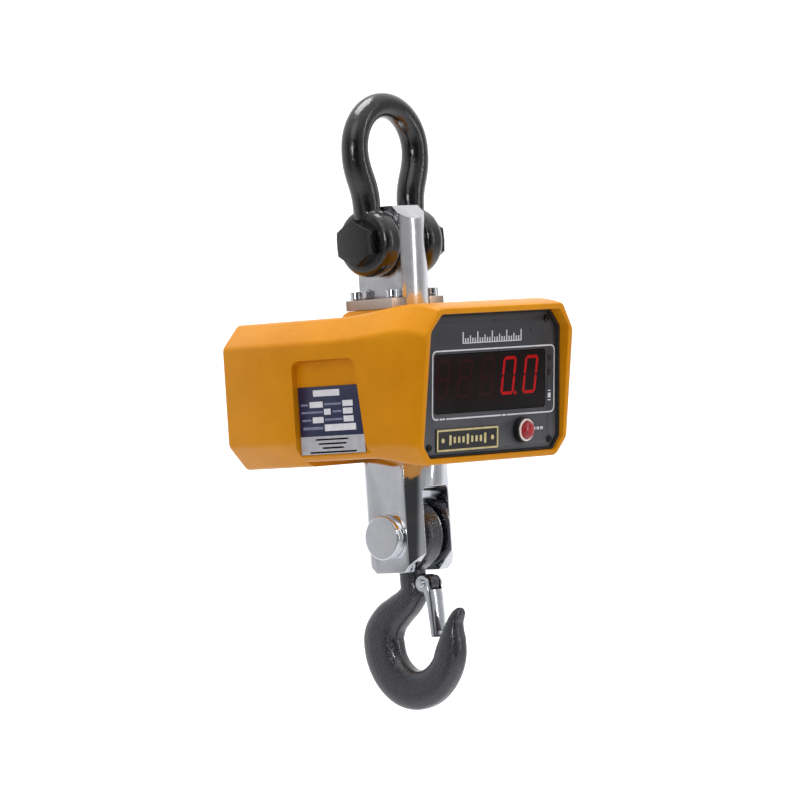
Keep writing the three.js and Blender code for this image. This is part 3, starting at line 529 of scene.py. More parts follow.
def nickel():
    n = Material("nickel_plate")
    fine = n.noise(900, 4, 0.6, n.stretched((1, 1, 0.06)))
    cloud = n.noise(45, 4)
    tone = n.mottled(cloud, (214, 217, 224), (232, 232, 234))
    return n.set(
        # Painted shade: the plate is darkened in concave places, where shade falls.
        Base_Color=n.tinted(tone, n.hollow_shade(), (96, 92, 90), 0.6),
        Metallic=1.0,
        Roughness=n.math("ADD", n.spread(fine, 0.04, 0.08), n.levels(cloud, 0.45, 0.7, 0.0, 0.07)),
        Normal=n.bump(fine, 0.006, 0.6),
    )


def machined():
    n = Material("machined_bar")
    fine = n.noise(700, 5, 0.7, n.stretched((1, 1, 0.3)))
    return n.set(
        Base_Color=n.mottled(n.noise(60, 4), (212, 213, 217), (232, 232, 234)),
        Metallic=1.0,
        Roughness=n.spread(fine, 0.12, 0.24),
        Normal=n.bump(fine, 0.02, 0.7),
    )


def bare_steel():
    n = Material("ground_steel")
    lines = n.noise(700, 4, 0.65, n.stretched((1, 0.08, 1)))
    tone = n.mottled(n.noise(70, 5, 0.6), (178, 158, 142), (142, 126, 114), end=0.68)
    return n.set(
        Base_Color=n.tinted(tone, n.edges(), (216, 202, 190)),
        Metallic=0.9,
        Roughness=n.spread(lines, 0.24, 0.42),
        Normal=n.bump(lines, 0.03, 0.6),
    )


def black_oxide():
    n = Material("black_oxide")
    spots = n.noise(800, 4)
    tone = n.mottled(spots, (34, 34, 37), (58, 57, 58), 0.4)
    return n.set(
        Base_Color=n.tinted(tone, n.edges(), (130, 128, 126), 0.7),
        Metallic=0.7,
        Roughness=n.spread(spots, 0.16, 0.32),
        Normal=n.bump(spots, 0.02),
    )


def zinc():
    n = Material("bright_zinc")
    cloud = n.noise(130, 4, 0.6)
    tone = n.mottled(cloud, (230, 233, 237), (206, 210, 216))
    return n.set(
        # Painted shade: the zinc is darkened in concave places, where shade falls.
        Base_Color=n.tinted(tone, n.hollow_shade(), (80, 78, 76), 0.7),
        Metallic=1.0,
        Roughness=n.spread(cloud, 0.10, 0.22),
        Normal=n.bump(n.noise(1200, 3), 0.008, 0.6),
    )


def orange_enamel():
    n = Material("orange_enamel")
    grain = n.noise(420, 3, 0.5)
    tone = n.mottled(n.noise(16, 4, 0.6), (222, 145, 16), (208, 132, 10), end=0.68)
    return n.set(
        Base_Color=n.blend(n.levels(n.noise(60, 5, 0.65), 0.55, 0.78, 0, 0.12), tone, rgb(232, 162, 34)),
        Roughness=n.spread(grain, 0.26, 0.38),
        Normal=n.bump(grain, 0.008, 0.8, n.bump(n.noise(60, 2), 0.05)),
        Specular_IOR_Level=0.3,
        Specular_Tint=(1, 0.7, 0.28, 1),
    )


def charcoal():
    """Grey paint with painted light that grows towards the panel's foot, leaving painted shade under the
    rim at the top.
    """
    n = Material("charcoal_panel")
    grain = n.noise(1100, 3, 0.5)
    cloud = n.noise(30, 4)
    height = n.add("ShaderNodeSeparateXYZ", {0: n.place}).outputs["Z"]
    # Painted light: the colour turns lighter lower down, leaving painted shade at the top.
    painted_foot_light = n.math("MULTIPLY", n.levels(height, -0.222, -0.262), n.levels(cloud, 0.3, 0.6, 0.7, 1.0))
    return n.set(
        Base_Color=n.tinted(n.mottled(cloud, (47, 48, 54), (53, 54, 59)), painted_foot_light, (90, 91, 96)),
        Roughness=n.spread(grain, 0.36, 0.5),
        Normal=n.bump(grain, 0.02, 0.7),
        Metallic=0.1,
    )


def plastic(name, colour, light, rough=0.3, grain_size=900, depth=0.01):
    n = Material(name)
    grain = n.noise(grain_size, 3)
    return n.set(
        Base_Color=n.mottled(n.noise(120, 4), colour, light, 0.4),
        Roughness=n.spread(grain, rough - 0.06, rough + 0.08),
        Normal=n.bump(grain, depth, 0.6),
    )


def printed(name, colour, second, rough=0.5):
    n = Material(name)
    grain = n.noise(1500, 3)
    return n.set(
        Base_Color=n.mottled(n.noise(200, 4), colour, second, 0.4),
        Roughness=n.spread(grain, rough - 0.05, rough + 0.06),
        Normal=n.bump(grain, 0.006, 0.5),
    )


def red_cap():
    n = Material("red_cap")
    return n.set(
        Base_Color=n.mottled(n.noise(240, 4), (138, 6, 18), (186, 16, 30)),
        Roughness=n.spread(n.noise(500), 0.12, 0.22),
        Normal=n.bump(n.noise(300, 2), 0.02, 0.5),
        Coat_Weight=0.6,
        Coat_Roughness=0.05,
    )


def hammered():
    """Hammer enamel: close, shiny dents over a dark grey ground, with a painted highlight along its
    edges.
    """
    n = Material("hammered_enamel")
    cells = {"Vector": n.place, "Scale": 800, "Smoothness": 0.6}
    distance = n.add("ShaderNodeTexVoronoi", cells, feature="SMOOTH_F1").outputs["Distance"]
    dents = n.levels(distance, 0.05, 0.6)
    ripple = n.noise(560, 3, 0.5)
    # Painted highlight: the edges are tinted lighter, as if they catch the light.
    bright = n.math("MULTIPLY", n.edges(0.52, 0.58), n.levels(n.noise(500, 4), 0.45, 0.6))
    return n.set(
        Base_Color=n.tinted(n.mottled(ripple, (48, 49, 55), (62, 63, 70)), bright, (112, 110, 110), 0.6),
        Roughness=n.spread(ripple, 0.1, 0.2),
        Normal=n.bump(ripple, 0.2, 1.0, n.bump(dents, 0.22, 1.0)),
        Metallic=0.35,
        Specular_IOR_Level=0.7,
        Coat_Weight=0.6,
        Coat_Roughness=0.06,
    )


def lit_segment():
    n = Material("lit_segment")
    tone = n.mottled(n.noise(260, 2), (250, 12, 34), (255, 36, 50), 0.3)
    return n.set(Base_Color=rgb(120, 6, 12), Emission_Color=tone, Emission_Strength=0.95, Roughness=0.4)


def window_filter():
    """Dark red filter: clear to the digits behind it, glossy on its face."""
    n = Material("red_filter")
    ripple = n.noise(30, 2)
    n.set(
        Base_Color=n.mottled(ripple, (4, 2, 3), (8, 3, 4), 0.3),
        Roughness=n.spread(ripple, 0.03, 0.06),
        Normal=n.bump(ripple, 0.02, 0.4),
        Coat_Weight=0.1,
        Coat_Roughness=0.03,
    )
    clear = n.add("ShaderNodeBsdfTransparent", {"Color": (0.85, 0.30, 0.32, 1)})
    behind = n.add("ShaderNodeNewGeometry").outputs["Backfacing"]
    share = n.math("MULTIPLY", n.math("SUBTRACT", 1.0, behind), n.spread(ripple, 0.46, 0.5))
    mix = n.add("ShaderNodeMixShader", {0: share, 1: clear.outputs[0], 2: n.shader.outputs[0]})
    n.feed(n.tree.nodes["Material Output"], {0: mix.outputs[0]})
    return n.material


M = {
    "forging": forged_black(),
    "nickel": nickel(),
    "machined": machined(),
    "steel": bare_steel(),
    "oxide": black_oxide(),
    "zinc": zinc(),
    "orange": orange_enamel(),
    "charcoal": charcoal(),
    "rubber": plastic("soft_rubber", (30, 30, 31), (42, 42, 43), 0.7, 500, 0.04),
    "black": plastic("black_moulding", (18, 18, 20), (30, 30, 32), 0.34),
    "lens": plastic("indicator_lens", (3, 3, 4), (8, 8, 9), 0.5),
    "ring": plastic("milky_ring", (236, 214, 208), (246, 234, 230), 0.22),
    "cap": red_cap(),
    "hammered": hammered(),
    "board": plastic("solder_mask", (22, 84, 46), (34, 104, 58), 0.35),
    "battery": plastic("battery_case", (36, 37, 42), (50, 51, 56), 0.45),
    "module": plastic("digit_face", (20, 12, 14), (26, 16, 18), 0.6),
    "dark_segment": printed("dark_segment", (84, 34, 38), (96, 40, 44)),
    "lit_segment": lit_segment(),
    "filter": window_filter(),
    "white_print": printed("white_print", (222, 224, 228), (204, 206, 212)),
    "gold_print": printed("gold_print", (214, 200, 146), (190, 174, 116), 0.4),
    "plate_black": printed("plate_black", (24, 24, 28), (34, 33, 36), 0.38),
    "label_blue": printed("label_navy", (30, 34, 66), (38, 42, 76), 0.36),
    "label_grey": printed("label_grey", (118, 120, 150), (132, 134, 160), 0.4),
    "label_ink": printed("label_ink", (88, 88, 96), (102, 102, 110), 0.4),
    "label_silver": printed("label_silver", (176, 176, 182), (190, 190, 194), 0.34),
    "label_white": printed("label_white", (218, 218, 224), (232, 232, 236), 0.4),
}


# ---- shackle
def shackle_bow():
    """Straight feet, a curve out to each side, half a circle over the top, and two ears."""
    crown_radius, bar_radius = 36, 10
    crown_z = bar_radius - crown_radius
    limb = [(25.5, SHACKLE_PIN_Z, 9, 10.4, 1), (26, SHACKLE_PIN_Z + 16, 9.8, 11, 1)]
    start, end = Vector((26.5, -66)), Vector((crown_radius, crown_z))
    first, second = Vector((27.5, -50)), Vector((crown_radius, crown_z - 18))
    steps = 14
    for i in range(steps):
        t = i / steps
        point = start * (1 - t) ** 3 + first * 3 * t * (1 - t) ** 2
        point += second * 3 * t * t * (1 - t) + end * t**3
        radius = lerp(11, 10.6, t) + 0.4 * math.sin(math.pi * t)
        limb.append((point.x, point.y, radius, radius, 1))
    crown = []
    for i in range(41):
        angle = math.pi * i / 40
        x, z = crown_radius * math.cos(angle), crown_z + crown_radius * math.sin(angle)
        radius = bar_radius + 0.6 * math.cos(angle) ** 2
        crown.append((x, z, radius, radius, 1))
    far = [(-x, z, a, b, p) for x, z, a, b, p in reversed(limb)]
    bow = sweep("shackle_bow_forged", limb + crown + far, lambda x, z, y: (x, y, z))
    z, ear_r, ear_end = SHACKLE_PIN_Z, 27, 35
    ear = filleted([(EAR_X, 0), (EAR_X, ear_r, 6), (ear_end, ear_r, 8), (ear_end, 0)], 8)
    for side in (1, -1):
        join(bow, lathe("ear", [(side * x, r) for x, r in ear], ACROSS, (0, 0, z)))
    cut(
        bow,
        block("tongue", (-EAR_X, -40, z - 40), (EAR_X, 40, z + 33)),
        rod("bore", ACROSS, BOLT_BORE_R, -60, 60, (0, 0, z)),
    )
    dress(fused(bow, 0.7, 8), "shackle_bow", "forging")


def hexagonal(name, inner, outer):
    """A bolt head or nut whose outer corners are turned to a cone, with one corner up."""
    sign = math.copysign(1, outer - inner)
    radius, z = HEXAGON_R, SHACKLE_PIN_Z
    corners = []
    for i in range(6):
        angle = math.pi / 2 + math.pi * i / 3
        corners.append((radius * math.cos(angle), z + radius * math.sin(angle)))
    flat = radius * math.cos(math.pi / 6)
    cone = [(inner, 0), (inner, radius + 1), (outer - sign * 0.9, radius + 1)]
    cone += [(outer, flat - 0.3), (outer, 0)]
    return common(plate_across(name, corners, inner, outer), lathe("cone", cone, ACROSS, (0, 0, z)))


def shackle_bolt():
    outer, end = low("shackle_bolt").x, high("shackle_bolt").x
    inner, z = outer + 11, SHACKLE_PIN_Z
    bolt = hexagonal("shackle_bolt_turned", inner, outer)
    shank = filleted([(inner - 1, 0), (inner - 1, BOLT_R), (end, BOLT_R, 1.4), (end, 0)])
    join(bolt, lathe("shank", shank, ACROSS, (0, 0, z)))
    cut(bolt, rod("pin_hole", UP, 1.8, z - 20, z + 20, (COTTER_HOLE_X, 0, 0), 24))
    dress(bevelled(bolt, 0.4), "shackle_bolt", "forging")


def shackle_nut():
    inner, outer = low("shackle_nut").x, high("shackle_nut").x
    nut = hexagonal("shackle_nut_turned", inner, outer)
    cut(nut, rod("bore", ACROSS, BOLT_BORE_R, inner - 1, outer + 1, (0, 0, SHACKLE_PIN_Z)))
    dress(bevelled(nut, 0.4), "shackle_nut", "forging")


def cotter_pin():
    z = SHACKLE_PIN_Z
    x = middle("cotter_pin").x
    wire, path = 1.45, [(0, 13.5), (0, 0), (0, -12), (0.4, -13.6), (1.5, -14.8), (3.6, -15.6), (7, -16)]
    stations = [(y, z + h, wire, wire, 1) for y, h in spline(path, 4)]
    pin = sweep("cotter_pin_bent", stations, lambda y, h, side: (x + side, y, h), 16)
    ring = round_outline(0, 3.2, 1.3, 12)
    join(pin, lathe("eye", ring + ring[:1], ACROSS, (x, 0, z + 16), 40))
    dress(smooth(pin), "cotter_pin", "zinc")


# ---- load path
def collar_screws():
    """Socket head screws over split spring washers."""
    for number, node in enumerate(numbered("collar_screw"), 1):
        seat = high(node).z - 6.5
        centre = middle(node)
        profile = filleted([
            (-17, 0), (-17, 3, 0.5), (0.02, 3), (0.02, 5, 0.3), (1.5, 5, 0.2), (1.5, 4.85, 0.1),
            (6.5, 4.85, 0.7), (6.5, 0),
        ])
        place = Matrix.Translation((centre.x, centre.y, seat))
        screw = lathe(node + "_turned", profile, UP, place.translation, 48)
        cut(screw, slab("socket", round_outline(0, 0, 2.9, 6), 3.1, 9, place))
        split = place @ Matrix.Rotation(number * 1.3, 4, "Z")
        cut(screw, slab("split", rectangle(4.6, 6, -0.35, 0.35), 0.2, 1.45, split))
        dress(smooth(screw, 35), node, "nickel")


def hook_pin():
    node = "hook_pin"
    outer, end = low(node).x, high(node).x
    inner, groove, r = outer + 8, end - 4, HOOK_PIN_R
    profile = [
        (outer, 0), (outer, 17.5, 1.6), (inner, 17.5, 0.5), (inner, r, 0.2), (groove, r), (groove, 8.5),
        (end - 2.2, 8.5), (end - 2.2, r), (end, r, 1), (end, 0),
    ]
    turned(node, profile, ACROSS, (0, 0, HOOK_PIN_Z), "nickel", 30, 128)


def pin_washer():
    x0, x1 = low("pin_washer").x, high("pin_washer").x
    profile = [
        (x0, 12), (x0, HOOK_BORE_R, 0.3), (x1, HOOK_BORE_R, 0.3), (x1, 15, 0.4), (x0, 15, 0.4), (x0, 12),
    ]
    turned("pin_washer", profile, ACROSS, (0, 0, HOOK_PIN_Z), "zinc", 30)


# ---- housing
# Sections along y: half width at the top, top, upper edge, lower edge, half width at the bottom, bottom
SIDE_X = 89
REAR_SECTION = (70, -155.3, -173.2, -250.7, 70, -270)
STEP_SECTION = (70, -155.3, -173.2, -256, 79, -266)
FLARE = [
    (34.4, *STEP_SECTION),
    (-6.6, 70, -155.2, -173.4, -256, 79, -266),
    (-20.6, 70, -154.2, -173.0, -256, 79, -266),
    (-34.6, 70.3, -152.9, -172.3, -255.7, 78.5, -266.2),
    (-49.6, 71, -151.2, -171.2, -255.2, 77.7, -267.7),
    (-64.6, 72, -149.7, -169.8, -255.6, 77.2, -271),
    (-78.6, 73, -149.1, -169.4, -257.2, 77, -273.3),
    (-88, 73.7, -149.4, -170.2, -259, 77.2, -273.6),
    (-96.5, 74.2, -150.6, -172, -260.6, 77.4, -273.2),
    (-105, 74.6, -152.9, -174.6, -261.4, 77.5, -272.9),
    (-117, 75, -156.4, -178.4, -261.6, 77.5, -272.9),
]
BACK_Y = 106
STEP_Y = 34.4
LONG_EDGE = 3.2  # tangent length of the round on each long edge
PANEL_CORNER, REAR_CORNER = 2.4, 4  # the same for the openings at the front and the back
CORNER_STEPS = 6


def section_at(y):
    if y > STEP_Y:
        return REAR_SECTION
    for i in range(len(FLARE) - 1):
        if FLARE[i + 1][0] <= y <= FLARE[i][0]:
            before, after = FLARE[max(i - 1, 0)], FLARE[min(i + 2, len(FLARE) - 1)]
            t = (FLARE[i][0] - y) / (FLARE[i][0] - FLARE[i + 1][0])
            columns = zip(before[1:], FLARE[i][1:], FLARE[i + 1][1:], after[1:])
            return tuple(catmull(*column, t) for column in columns)
    return FLARE[-1][1:]


def section_outline(section, inset=0.0):
    top_x, top, upper, lower, bottom_x, bottom = section
    half = [
        (top_x - inset * 0.6, top - inset),
        (SIDE_X - inset, upper - inset * 0.4),
        (SIDE_X - inset, lower + inset * 0.4),
        (bottom_x - inset * 0.6, bottom + inset),
    ]
    return rounded_outline(mirrored(half), LONG_EDGE, CORNER_STEPS)


def rim_y(z):
    return RIM_TOP[0] - math.tan(RIM_TILT) * (z - RIM_TOP[1])


def front_ring(share, inset=0.0, behind=0.0):
    """A ring between the upright plane where the flare starts and the tilted plane of the rim."""
    start = FLARE[3][0]
    ring = []
    for index in range(8 * (CORNER_STEPS + 1)):
        z = -212
        for _ in range(4):
            y = lerp(start, rim_y(z), share) + behind
            x, z = section_outline(section_at(y), inset)[index]
        ring.append((x, y, z))
    return ring


PANEL = Matrix.Translation(PANEL_ORIGIN) @ Matrix.Rotation(math.pi / 2 + PANEL_TILT, 4, "X")


def grown(half, by):
    centre = (half[0][1] + half[-1][1]) / 2
    return [(u + by, v + math.copysign(by, v - centre)) for u, v in half]


def grown_outline(half, by, reach):
    return rounded_outline(mirrored(grown(half, by)), reach, CORNER_STEPS)


def panel_ring(half, grow, depth):
    outline = grown_outline(half, grow, PANEL_CORNER)
    return [PANEL @ Vector((u, v, depth)) for u, v in outline]


def rim_ring(grow, behind):
    """The recess outline carried out along the panel's normal to just behind the rim's plane."""
    out, _ = axis_of(PANEL)
    ring = []
    for u, v in grown_outline(PANEL_OUTLINE, grow, PANEL_CORNER):
        foot = PANEL @ Vector((u, v, 0))
        depth = 0
        for _ in range(6):
            point = foot + out * depth
            depth += point.y - (rim_y(point.z) + behind)
        ring.append(foot + out * depth)
    return ring


def flat_ring(half, y, grow=0.0):
    return [(x, y, z) for x, z in grown_outline(half, grow, REAR_CORNER)]


def section_ring(section, y, inset=0.0):
    return [(x, y, z) for x, z in section_outline(section, inset)]


def flatted(name, radius, half, bottom, top):
    bar = rod(name, UP, radius, bottom, top, (0, 0, 0), 128)
    return common(bar, block("flats", (-half, -60, bottom - 1), (half, 60, top + 1)))


def pad():
    rings = []
    for grow, z in ((2.6, -158), (0.4, -155.3), (-1.2, -152.6), (-3.0, -151), (-4.2, -150.5)):
        outline = rounded_outline(rectangle(-35 - grow, 35 + grow, -27 - grow, 27 + grow), 3, 5)
        rings.append([(x, y, z) for x, y in outline])
    return skin("pad", rings)


def label_recess(side):
    """The cutter for the recess that holds the label, open at the bottom."""
    top, front, back = -187, -34.6, STEP_Y - 0.4
    floor_x, below = 83, -300
    points = [(back, below), (back, top, 8), (front + 4, top, 8), (front - 4, -262), (front - 4, below)]
    return plate_across("recess", filleted(points, 8), *sorted((side * floor_x, side * 100)))


def housing():
    rear_outline = [(66, -160.5), (80.5, -175), (80.5, -249.5), (66, -264.5)]
    rear_ledge = [(60, -166), (73, -180), (73, -245), (60, -259)]
    wall, narrow = 5, 6
    back_edge = ((0, 1.6), (0.4, 0.5), (1.5, 0))
    rings = [section_ring(REAR_SECTION, BACK_Y - y, inset) for y, inset in back_edge]
    rings += [section_ring(REAR_SECTION, y) for y in (80, STEP_Y + 2, STEP_Y + 1, STEP_Y + 0.4)]
    rings += [section_ring(STEP_SECTION, STEP_Y)]
    rings += [section_ring(section_at(y), y) for y in (-6.6, -13, -20.6, -28)]
    rings += [front_ring(i / 16) for i in range(16)]
    rings += [front_ring(1, *edge) for edge in ((0, 1.8), (0.5, 0.5), (1.5, 0))]
    rings += [rim_ring(*edge) for edge in ((3.2, 0), (2.3, 0.3), (2.0, 1.2), (2.0, 3.2))]
    rings += [panel_ring(PANEL_OUTLINE, 2, -PANEL_T - 0.3)]
    rings += [panel_ring(LEDGE_OUTLINE, 0, depth) for depth in (-PANEL_T - 0.3, -10)]
    rings += [section_ring(section_at(y), y, wall + narrow) for y in (-76, -34, STEP_Y)]
    rings += [section_ring(REAR_SECTION, y, wall) for y in (STEP_Y + 6, BACK_Y - 12)]
    rings += [flat_ring(rear_ledge, BACK_Y - y) for y in (12, 4)]
    rings += [flat_ring(rear_outline, BACK_Y - y, grow) for y, grow in ((4, 0.4), (0.8, 0.4), (0, 1.2))]
    body = skin("housing_cast", rings, loop=True)
    join(body, pad())
    cut(body, label_recess(1), label_recess(-1))
    cut(body, flatted("bar_hole", 28.5, 16.7, -175, -140))
    cut(body, flatted("seal_hole", 36.7, 30.4, -290, -255))
    seats = [middle(node) for node in numbered("collar_screw")]
    cut(body, *(rod("hole", UP, 3.3, -175, -140, (seat.x, seat.y, 0), 32) for seat in seats))
    dress(bevelled(body, 0.8), "housing", "orange")


# ---- front panel
SEGMENT = {"height": 29.8, "width": 16, "stroke": 2.4, "slant": math.tan(math.radians(8)), "mitre": 0.35}
SEGMENT_LAYER = (-PANEL_T + 0.02, -PANEL_T + 0.22)  # just under the window
MIDDLE = 2  # the number of the segment that a nought leaves dark
BUTTON_AT = (38.8, -38, 0)


def segment_outline(length):
    """A bar along u with pointed ends."""
    half, point = (length - SEGMENT["mitre"]) / 2, SEGMENT["stroke"] / 2
    return [
        (half, 0), (half - point, point), (-half + point, point),
        (-half, 0), (-half + point, -point), (half - point, -point),
    ]


def digit_segments(number, lit):
    """Seven slanted segments just under the window. All light up but the middle one when lit."""
    node = f"digit_{number}"
    u, v = (PANEL.inverted() @ middle(node)).x, 4.8
    reach_u, reach_v = ((SEGMENT[size] - SEGMENT["stroke"]) / 2 for size in ("width", "height"))
    level = [(0, reach_v), (0, 0), (0, -reach_v)]
    upright = [(side * reach_u, sign * reach_v / 2) for side in (-1, 1) for sign in (-1, 1)]
    places = [(c, 2 * reach_u, 0) for c in level] + [(c, reach_v, 1) for c in upright]
    for index, ((cu, cv), length, standing) in enumerate(places, 1):
        points = []
        for a, b in segment_outline(length):
            du, dv = (cu + b, cv + a) if standing else (cu + a, cv + b)
            points.append((u + du + dv * SEGMENT["slant"], v + dv))
        piece = slab(f"{node}_segment_{index}", points, *SEGMENT_LAYER, PANEL)
        dress(piece, node, "lit_segment" if lit and index != MIDDLE else "dark_segment", False)


def digits():
    for number in range(1, 6):
        node = f"digit_{number}"
        refined(node, 0.3, "module", 2)
        digit_segments(number, number > 3)
    point = slab("decimal_point", round_outline(34.5, -9, 1.4), *SEGMENT_LAYER, PANEL)
    dress(point, "digit_4", "lit_segment", False)


def patch(name, node, material, u0, u1, v0, v1, bottom=0.0, top=PRINT_T, place=PANEL):
    """A thin printed rectangle."""
    dress(slab(name, rectangle(u0, u1, v0, v1), bottom, top, place), node, material, False)


def frame_line():
    """The printed line round the window and the two indicators."""
    outer = rounded_outline(rectangle(-68.9, 79.3, -26.1, 27.5), 5.4, 8)
    inner = rounded_outline(rectangle(-67.8, 78.2, -25, 26.4), 4.6, 8)
    line = band("frame_line", outer, inner, 0.0, PRINT_T, PANEL)
    gaps = [slab("gap", rectangle(u0, u1, -27, -24), -1, 1, PANEL) for u0, u1 in ((-61, -52), (14, 21))]
    cut(line, *gaps)
    dress(line, "front_panel", "white_print", False)


def panel_prints():
    """Plain marks where the panel carries print: a graduated scale, short bars, and two small holes
    drawn as black discs of painted shade.
    """
    areas = {"scale_base": (-33, 38, 31.8, 32.5)}
    for tick in range(25):
        u = -32.4 + tick * 70 / 24
        tall = 8.4 if tick % 6 == 0 else 5.6 if tick % 3 == 0 else 3.6
        areas[f"scale_tick_{tick + 1}"] = (u - 0.6, u + 0.6, 32.4, 32.4 + tall)
    for number, (u0, u1) in enumerate(((-59.5, -57.2), (-56.4, -53.6), (15.4, 19.6)), 1):
        areas[f"frame_mark_{number}"] = (u0, u1, -26.2, -24.9)
    for number, (v0, v1) in enumerate(((-16.6, -15.8), (-14.4, -10.6), (-9.2, -8.4)), 1):
        areas[f"unit_mark_{number}"] = (71.2, 74.6, v0, v1)
    for number, u in enumerate((53, 57.6, 62.2), 1):
        areas[f"button_mark_{number}"] = (u, u + 3.2, -38.9, -36.7)
    for name, area in areas.items():
        patch(name, "front_panel", "white_print", *area)
    # Painted shade: each hole is a thin black disc on the panel, standing for the dark inside a hole.
    for number, circle in enumerate(((5.1, 48.6, 1.25), (49.9, 40.2, 1.0)), 1):
        hole = slab(f"painted_hole_shade_{number}", round_outline(*circle), 0.0, 0.1, PANEL)
        dress(hole, "front_panel", "black", False)


def panel_place(node, height=0.0):
    """The panel's frame moved to a node's middle."""
    local = PANEL.inverted() @ middle(node)
    return PANEL @ Matrix.Translation((local.x, local.y, height))


def panel_screws():
    for node in numbered("panel_screw"):
        pan_screw(node, panel_place(node, 0.3), 2.8, 1.8)


def pan_screw(node, place, radius, height):
    """A pan head screw with a cross recess; local z points out of its head."""
    profile = filleted([
        (-9, 0), (-9, 1.5, 0.3), (0, 1.5), (0, radius, 0.2), (height * 0.5, radius, 0.7),
        (height, radius * 0.55, 0.5), (height, 0),
    ])
    screw = lathe(node + "_turned", profile, *axis_of(place), 48)
    for a, b in ((1.7, 0.35), (0.35, 1.7)):
        cut(screw, slab("cross", rectangle(-a, a, -b, b), height - 0.9, height + 1, place))
    dress(smooth(screw, 35), node, "oxide")


def button():
    place = axis_of(PANEL @ Matrix.Translation(BUTTON_AT))
    collar = [
        (-10, 7.3), (-10, 7.7), (0.3, 7.7), (0.3, 10, 0.3), (5.5, 10, 0.9), (5.5, 9.3, 0.2), (3.2, 9.3),
        (3.2, 6.9), (-10, 6.9), (-10, 7.3),
    ]
    turned("button_collar", collar, *place, "black")
    ring = [(4.5, 7), (3.5, 7), (3.5, 9, 0.2), (6.3, 9, 1.1), (6.3, 7, 0.6), (4.5, 7)]
    turned("button_ring", ring, *place, "ring")
    cap = [
        (-9, 0), (-9, 4), (-1, 4), (-1, 6.6), (7.9, 6.6, 0.8), (9, 5.6, 1.2), (9.6, 3.2, 1.4), (9.9, 0),
    ]
    turned("zero_button", cap, *place, "cap", 50, steps=8)


def indicators():
    for node in numbered("indicator", 2):
        profile = filleted([(-3, 0), (-3, 2.1), (0.1, 2.1), (0.8, 1.4, 0.5), (1, 0)])
        dome = lathe(node + "_moulded", profile, *axis_of(panel_place(node)), 48)
        dress(smooth(dome, 50), node, "lens")


def capacity_plate():
    """A black plate with a gold border, two rivets and a row of plain gold dashes."""
    node = "capacity_plate"
    refined(node, 0.3, "plate_black")
    u0, u1, v0, v1 = -64.5, 9.5, -50.8, -33.2
    face = 1.3
    outer = rounded_outline(rectangle(u0 + 0.35, u1 - 0.35, v0 + 0.35, v1 - 0.35), 0.5, 4)
    inner = rounded_outline(rectangle(u0 + 1.9, u1 - 1.9, v0 + 1.8, v1 - 1.8), 0.3, 4)
    dress(band("plate_border", outer, inner, face, face + 0.15, PANEL), node, "gold_print", False)
    axis, _ = axis_of(PANEL)
    for number, u in enumerate((u0 + 7.4, u1 - 7.4), 1):
        dome = filleted([(face - 0.2, 0), (face - 0.2, 1.9), (face + 0.3, 1.9, 0.2), (face + 1.1, 0)])
        rivet = lathe(f"plate_rivet_{number}", dome, axis, PANEL @ Vector((u, -42, 0)), 32)
        dress(smooth(rivet, 60), node, "gold_print", False)
    for dash in range(9):
        u = u0 + 15 + dash * 5.2
        tall = 3.9 if dash in (0, 4, 8) else 2.4
        area = (u, u + 2.6, -42 - tall, -42 + tall)
        patch(f"plate_dash_{dash + 1}", node, "gold_print", *area, face, face + PRINT_T)


# ---- hook
def hook_stations():
    """Down the neck, round the bowl and up to the tip: y, z, half depth, half width, squareness."""
    neck = [
        (0, -350, 10, 9.6), (0, -366, 9.6, 9.4), (-0.4, -374, 10.6, 9.6),
        (6, -381.5, 11.6, 9.8), (16.5, -388.5, 13, 10), (26.5, -396, 15, 10.2),
    ]
    bowl = []
    for degrees, gap, depth in (
        (14, 1.2, 34.8), (-4, 0, 35.8), (-22, -0.3, 35.4), (-42, -0.4, 34.8), (-63, -0.2, 33.8),
        (-84, 0, 31.7), (-106, -0.6, 29.8), (-128, -1.2, 28), (-150, -0.8, 26.4), (-170, 0, 25.4),
    ):
        angle = math.radians(degrees)
        radius = BOWL["r"] + gap + depth / 2
        wide = lerp(10.6, 9.6, (14 - degrees) / 184)
        y, z = BOWL["y"] + radius * math.cos(angle), BOWL["z"] + radius * math.sin(angle)
        bowl.append((y, z, depth / 2, wide))
    tip = [
        (-37.3, -411.5, 10, 9), (-38.8, -404.5, 7.4, 8), (-41, -398, 5.6, 6.6),
        (-44.4, -392.8, 4.8, 5.4), (-47.6, -389.8, 3.4, 3.8), (-49.2, -388.7, 1.2, 1.6),
    ]
    return spline(neck + bowl + tip, 5)


def hook():
    stations = [(*row, 0.72) for row in hook_stations()]
    body = sweep("hook_forged", stations, lambda y, z, x: (x, y, z))
    eye = filleted([(11, 0), (11, 28, 7), (-11, 28, 7), (-11, 0)], 8)
    y, z = LATCH_PIVOT
    lug_x = 4.4
    join(body, lathe("eye", eye, ACROSS, (0, 0, HOOK_PIN_Z)))
    join(body, rod("lug", ACROSS, 7.2, -lug_x, lug_x, (0, y, z), 48))
    join(body, block("lug_root", (-lug_x, y, z - 7), (lug_x, -4, z + 7)))
    cut(body, rod("bore", ACROSS, HOOK_BORE_R, -30, 30, (0, 0, HOOK_PIN_Z)))
    cut(body, rod("pin_hole", ACROSS, LATCH_BORE_R, -30, 30, (0, y, z), 32))
    dress(fused(body, 0.6, 5), "hook", "hammered")


def latch_pin():
    end = 8.9
    head = end + 1.3
    profile = [
        (-head, 0), (-head, 3.2, 1.2), (-end, 3.4, 0.2), (-end, LATCH_PIN_R), (end, LATCH_PIN_R),
        (end, 3.4, 0.2), (head, 3.2, 1.2), (head, 0),
    ]
    turned("latch_pin", profile, ACROSS, (0, *LATCH_PIVOT), "zinc", 40, 48)


